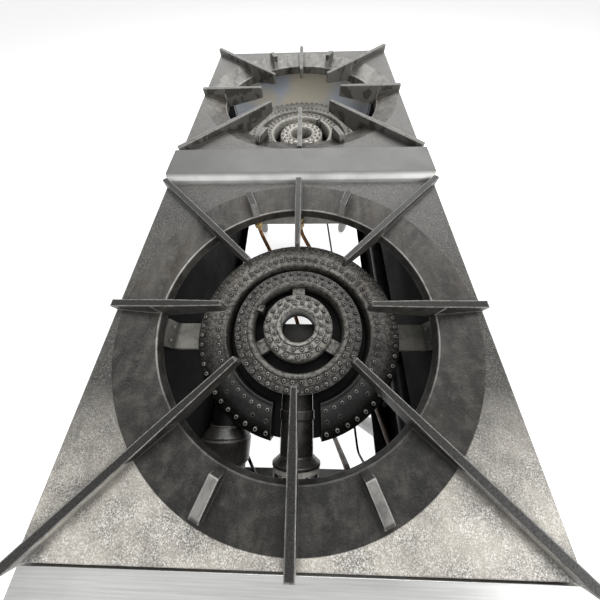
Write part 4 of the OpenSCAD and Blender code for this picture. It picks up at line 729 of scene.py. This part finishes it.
class RANGE_OT_panels(bpy.types.Operator):
    """Finish the panels and the rails"""

    bl_idname = "pot_range.panels"
    bl_label = "Panels and rails"

    def execute(self, context):
        paint(painted_side("side paint"), "left_side_panel", "right_side_panel")
        # The back panel is lightened, and lit on its front face, with painted light.
        paint(galvanised("back zinc", 0.1, 1.35, None, True), "back_panel")
        paint(galvanised("cross rail zinc", 0.35), "centre_cross_rail")
        for name in BURNERS:
            # The rails are lightened with painted light.
            paint(galvanised(name + " rail zinc", 0.1, 1.5, middle(name + "_grate")), name + "_burner_rail")
        paint(brushed_steel("front steel", context.scene.range_colours.stainless, "X", 0.1),
              "control_panel", "front_ledge")
        return {"FINISHED"}


class RANGE_OT_controls(bpy.types.Operator):
    """Finish the knobs, their stems and the pilot screws"""

    bl_idname = "pot_range.controls"
    bl_label = "Controls"

    def execute(self, context):
        paint(moulded_knob("knob plastic"), *[name + "_knob" for name in CONTROLS])
        stem = worn_metal("stem steel", context.scene.range_colours.stem, 0.25, 0.3)
        paint(stem, *[name + "_stem" for name in CONTROLS], "front_pilot_screw", "rear_pilot_screw")
        return {"FINISHED"}


class RANGE_OT_legs(bpy.types.Operator):
    """Finish the legs and feet"""

    bl_idname = "pot_range.legs"
    bl_label = "Legs and feet"

    def execute(self, context):
        steel = brushed_steel("leg steel", shade(context.scene.range_colours.stainless, 0.5), "Z", 0.2)
        paint(steel, *[f"{corner}_{piece}" for corner in CORNERS for piece in ("leg", "foot")])
        return {"FINISHED"}


class RANGE_OT_fasteners(bpy.types.Operator):
    """Finish the screws and bolts"""

    bl_idname = "pot_range.fasteners"
    bl_label = "Fasteners"

    def execute(self, context):
        plated = worn_metal("plated screws", context.scene.range_colours.plated, 0.22, 0.4)
        paint(plated, "panel_screws", "rail_screws", "burner_bolts", "leg_bolts")
        return {"FINISHED"}


class RANGE_OT_stage(bpy.types.Operator):
    """Set up the floor, the light and the camera"""

    bl_idname = "pot_range.stage"
    bl_label = "Stage"

    def execute(self, context):
        colours = context.scene.range_colours
        bpy.ops.object.select_all(action="DESELECT")
        bpy.ops.mesh.primitive_plane_add(size=60.0, location=(0.0, 0.0, 0.0))
        floor = context.object
        floor.name = "studio_floor"
        floor.data.materials.append(self.floor_paint(list(colours.floor)))
        self.light(context)
        self.camera(context)
        context.scene.view_settings.view_transform = "Standard"
        return {"FINISHED"}

    def shown(self, f):
        """1 for the rays that show a thing itself, 0 for those that only carry its light."""
        path = f.add("ShaderNodeLightPath")
        seen = f.calc("MAXIMUM", path.outputs["Is Camera Ray"], path.outputs["Is Glossy Ray"])
        return f.calc("MAXIMUM", seen, path.outputs["Is Transmission Ray"])

    def floor_paint(self, colour):
        """Pale floor that shows white and keeps the range's shadow."""
        f = Finish("studio floor paint")
        dust = f.noise(3.0, 3.0, 0.5)
        f.shader.inputs["Emission Color"].default_value = (1.0, 1.0, 1.0, 1.0)
        f.wire(f.times(self.shown(f), 0.6), f.shader.inputs["Emission Strength"])
        pale = f.mix(f.band(dust, 0.3, 0.7), shade(colour, 0.98), colour)
        return f.finish(pale, 0.9, 0.0)

    def light(self, context):
        world = bpy.data.worlds.new("studio")
        world.use_nodes = True
        tree = world.node_tree
        path = tree.nodes.new("ShaderNodeLightPath")
        seen = path.outputs["Is Camera Ray"]
        for kind in ("Is Glossy Ray", "Is Transmission Ray"):
            both = tree.nodes.new("ShaderNodeMath")
            both.operation = "MAXIMUM"
            tree.links.new(seen, both.inputs[0])
            tree.links.new(path.outputs[kind], both.inputs[1])
            seen = both.outputs[0]
        strength = tree.nodes.new("ShaderNodeMapRange")
        strength.inputs["To Min"].default_value = 0.32
        strength.inputs["To Max"].default_value = 1.0
        tree.links.new(seen, strength.inputs["Value"])
        tree.nodes["Background"].inputs["Color"].default_value = (1.0, 1.0, 1.0, 1.0)
        tree.links.new(strength.outputs["Result"], tree.nodes["Background"].inputs["Strength"])
        context.scene.world = world
        for name, spot, wide, high, watts in (
                ("back window", (0.3, 1.7, 2.6), 3.2, 2.4, 84.0),
                ("front right window", (2.2, -1.5, 2.0), 1.8, 1.4, 36.0),
                ("front screen", (-0.8, -2.4, 1.9), 2.4, 1.6, 12.0)):
            lamp = bpy.data.lights.new(name, "AREA")
            lamp.shape = "RECTANGLE"
            lamp.size = wide
            lamp.size_y = high
            lamp.energy = watts
            holder = bpy.data.objects.new(name, lamp)
            context.scene.collection.objects.link(holder)
            aim = Vector((0.0, 0.0, 0.5)) - Vector(spot)
            holder.location = spot
            holder.rotation_euler = aim.to_track_quat("-Z", "Y").to_euler()

    def camera(self, context):
        """Stands over the front grate, a little in front of its middle, and looks steeply down."""
        stand_x = 11.0 * MM
        stand_y = -92.8 * MM
        stand_z = 232.6 * MM
        pitch = math.radians(66.3)
        yaw = math.radians(-3.4)
        roll = math.radians(-2.9)
        centre = middle("front_grate")
        ahead = Vector((math.sin(yaw) * math.cos(pitch), math.cos(yaw) * math.cos(pitch), -math.sin(pitch)))
        side = Vector((math.cos(yaw), -math.sin(yaw), 0.0))
        over = side.cross(ahead)
        right = side * math.cos(roll) + over * math.sin(roll)
        up = over * math.cos(roll) - side * math.sin(roll)
        lens = bpy.data.cameras.new("photo camera")
        lens.sensor_width = 36.0
        lens.lens = 11.91
        lens.clip_start = 0.01
        camera = bpy.data.objects.new("photo camera", lens)
        turn = Matrix((right, up, -ahead)).transposed().to_4x4()
        stand = Vector((centre.x + stand_x, centre.y + stand_y, plate_top() + stand_z))
        camera.matrix_world = Matrix.Translation(stand) @ turn
        context.scene.collection.objects.link(camera)
        context.scene.camera = camera


class RANGE_PT_panel(bpy.types.Panel):
    """Buttons for every group of pieces"""

    bl_idname = "RANGE_PT_panel"
    bl_label = "Pot range"
    bl_space_type = "VIEW_3D"
    bl_region_type = "UI"
    bl_category = "Pot range"

    def draw(self, context):
        for name in RangeSizes.__annotations__:
            self.layout.prop(context.scene.range_sizes, name)
        for name in RangeColours.__annotations__:
            self.layout.prop(context.scene.range_colours, name)
        for operator in OPERATORS:
            self.layout.operator(operator.bl_idname)


OPERATORS = (
    RANGE_OT_grates,
    RANGE_OT_bridge,
    RANGE_OT_burners,
    RANGE_OT_pilots,
    RANGE_OT_gas_train,
    RANGE_OT_panels,
    RANGE_OT_controls,
    RANGE_OT_legs,
    RANGE_OT_fasteners,
    RANGE_OT_stage,
)
CLASSES = (RangeSizes, RangeColours, *OPERATORS, RANGE_PT_panel)


def register():
    for cls in CLASSES:
        bpy.utils.register_class(cls)
    bpy.types.Scene.range_sizes = bpy.props.PointerProperty(type=RangeSizes)
    bpy.types.Scene.range_colours = bpy.props.PointerProperty(type=RangeColours)


def unregister():
    del bpy.types.Scene.range_colours
    del bpy.types.Scene.range_sizes
    for cls in reversed(CLASSES):
        bpy.utils.unregister_class(cls)


def main():
    register()
    bpy.ops.pot_range.grates()
    bpy.ops.pot_range.bridge()
    bpy.ops.pot_range.burners()
    bpy.ops.pot_range.pilots()
    bpy.ops.pot_range.gas_train()
    bpy.ops.pot_range.panels()
    bpy.ops.pot_range.controls()
    bpy.ops.pot_range.legs()
    bpy.ops.pot_range.fasteners()
    bpy.ops.pot_range.stage()


if __name__ == "__main__":
    main()
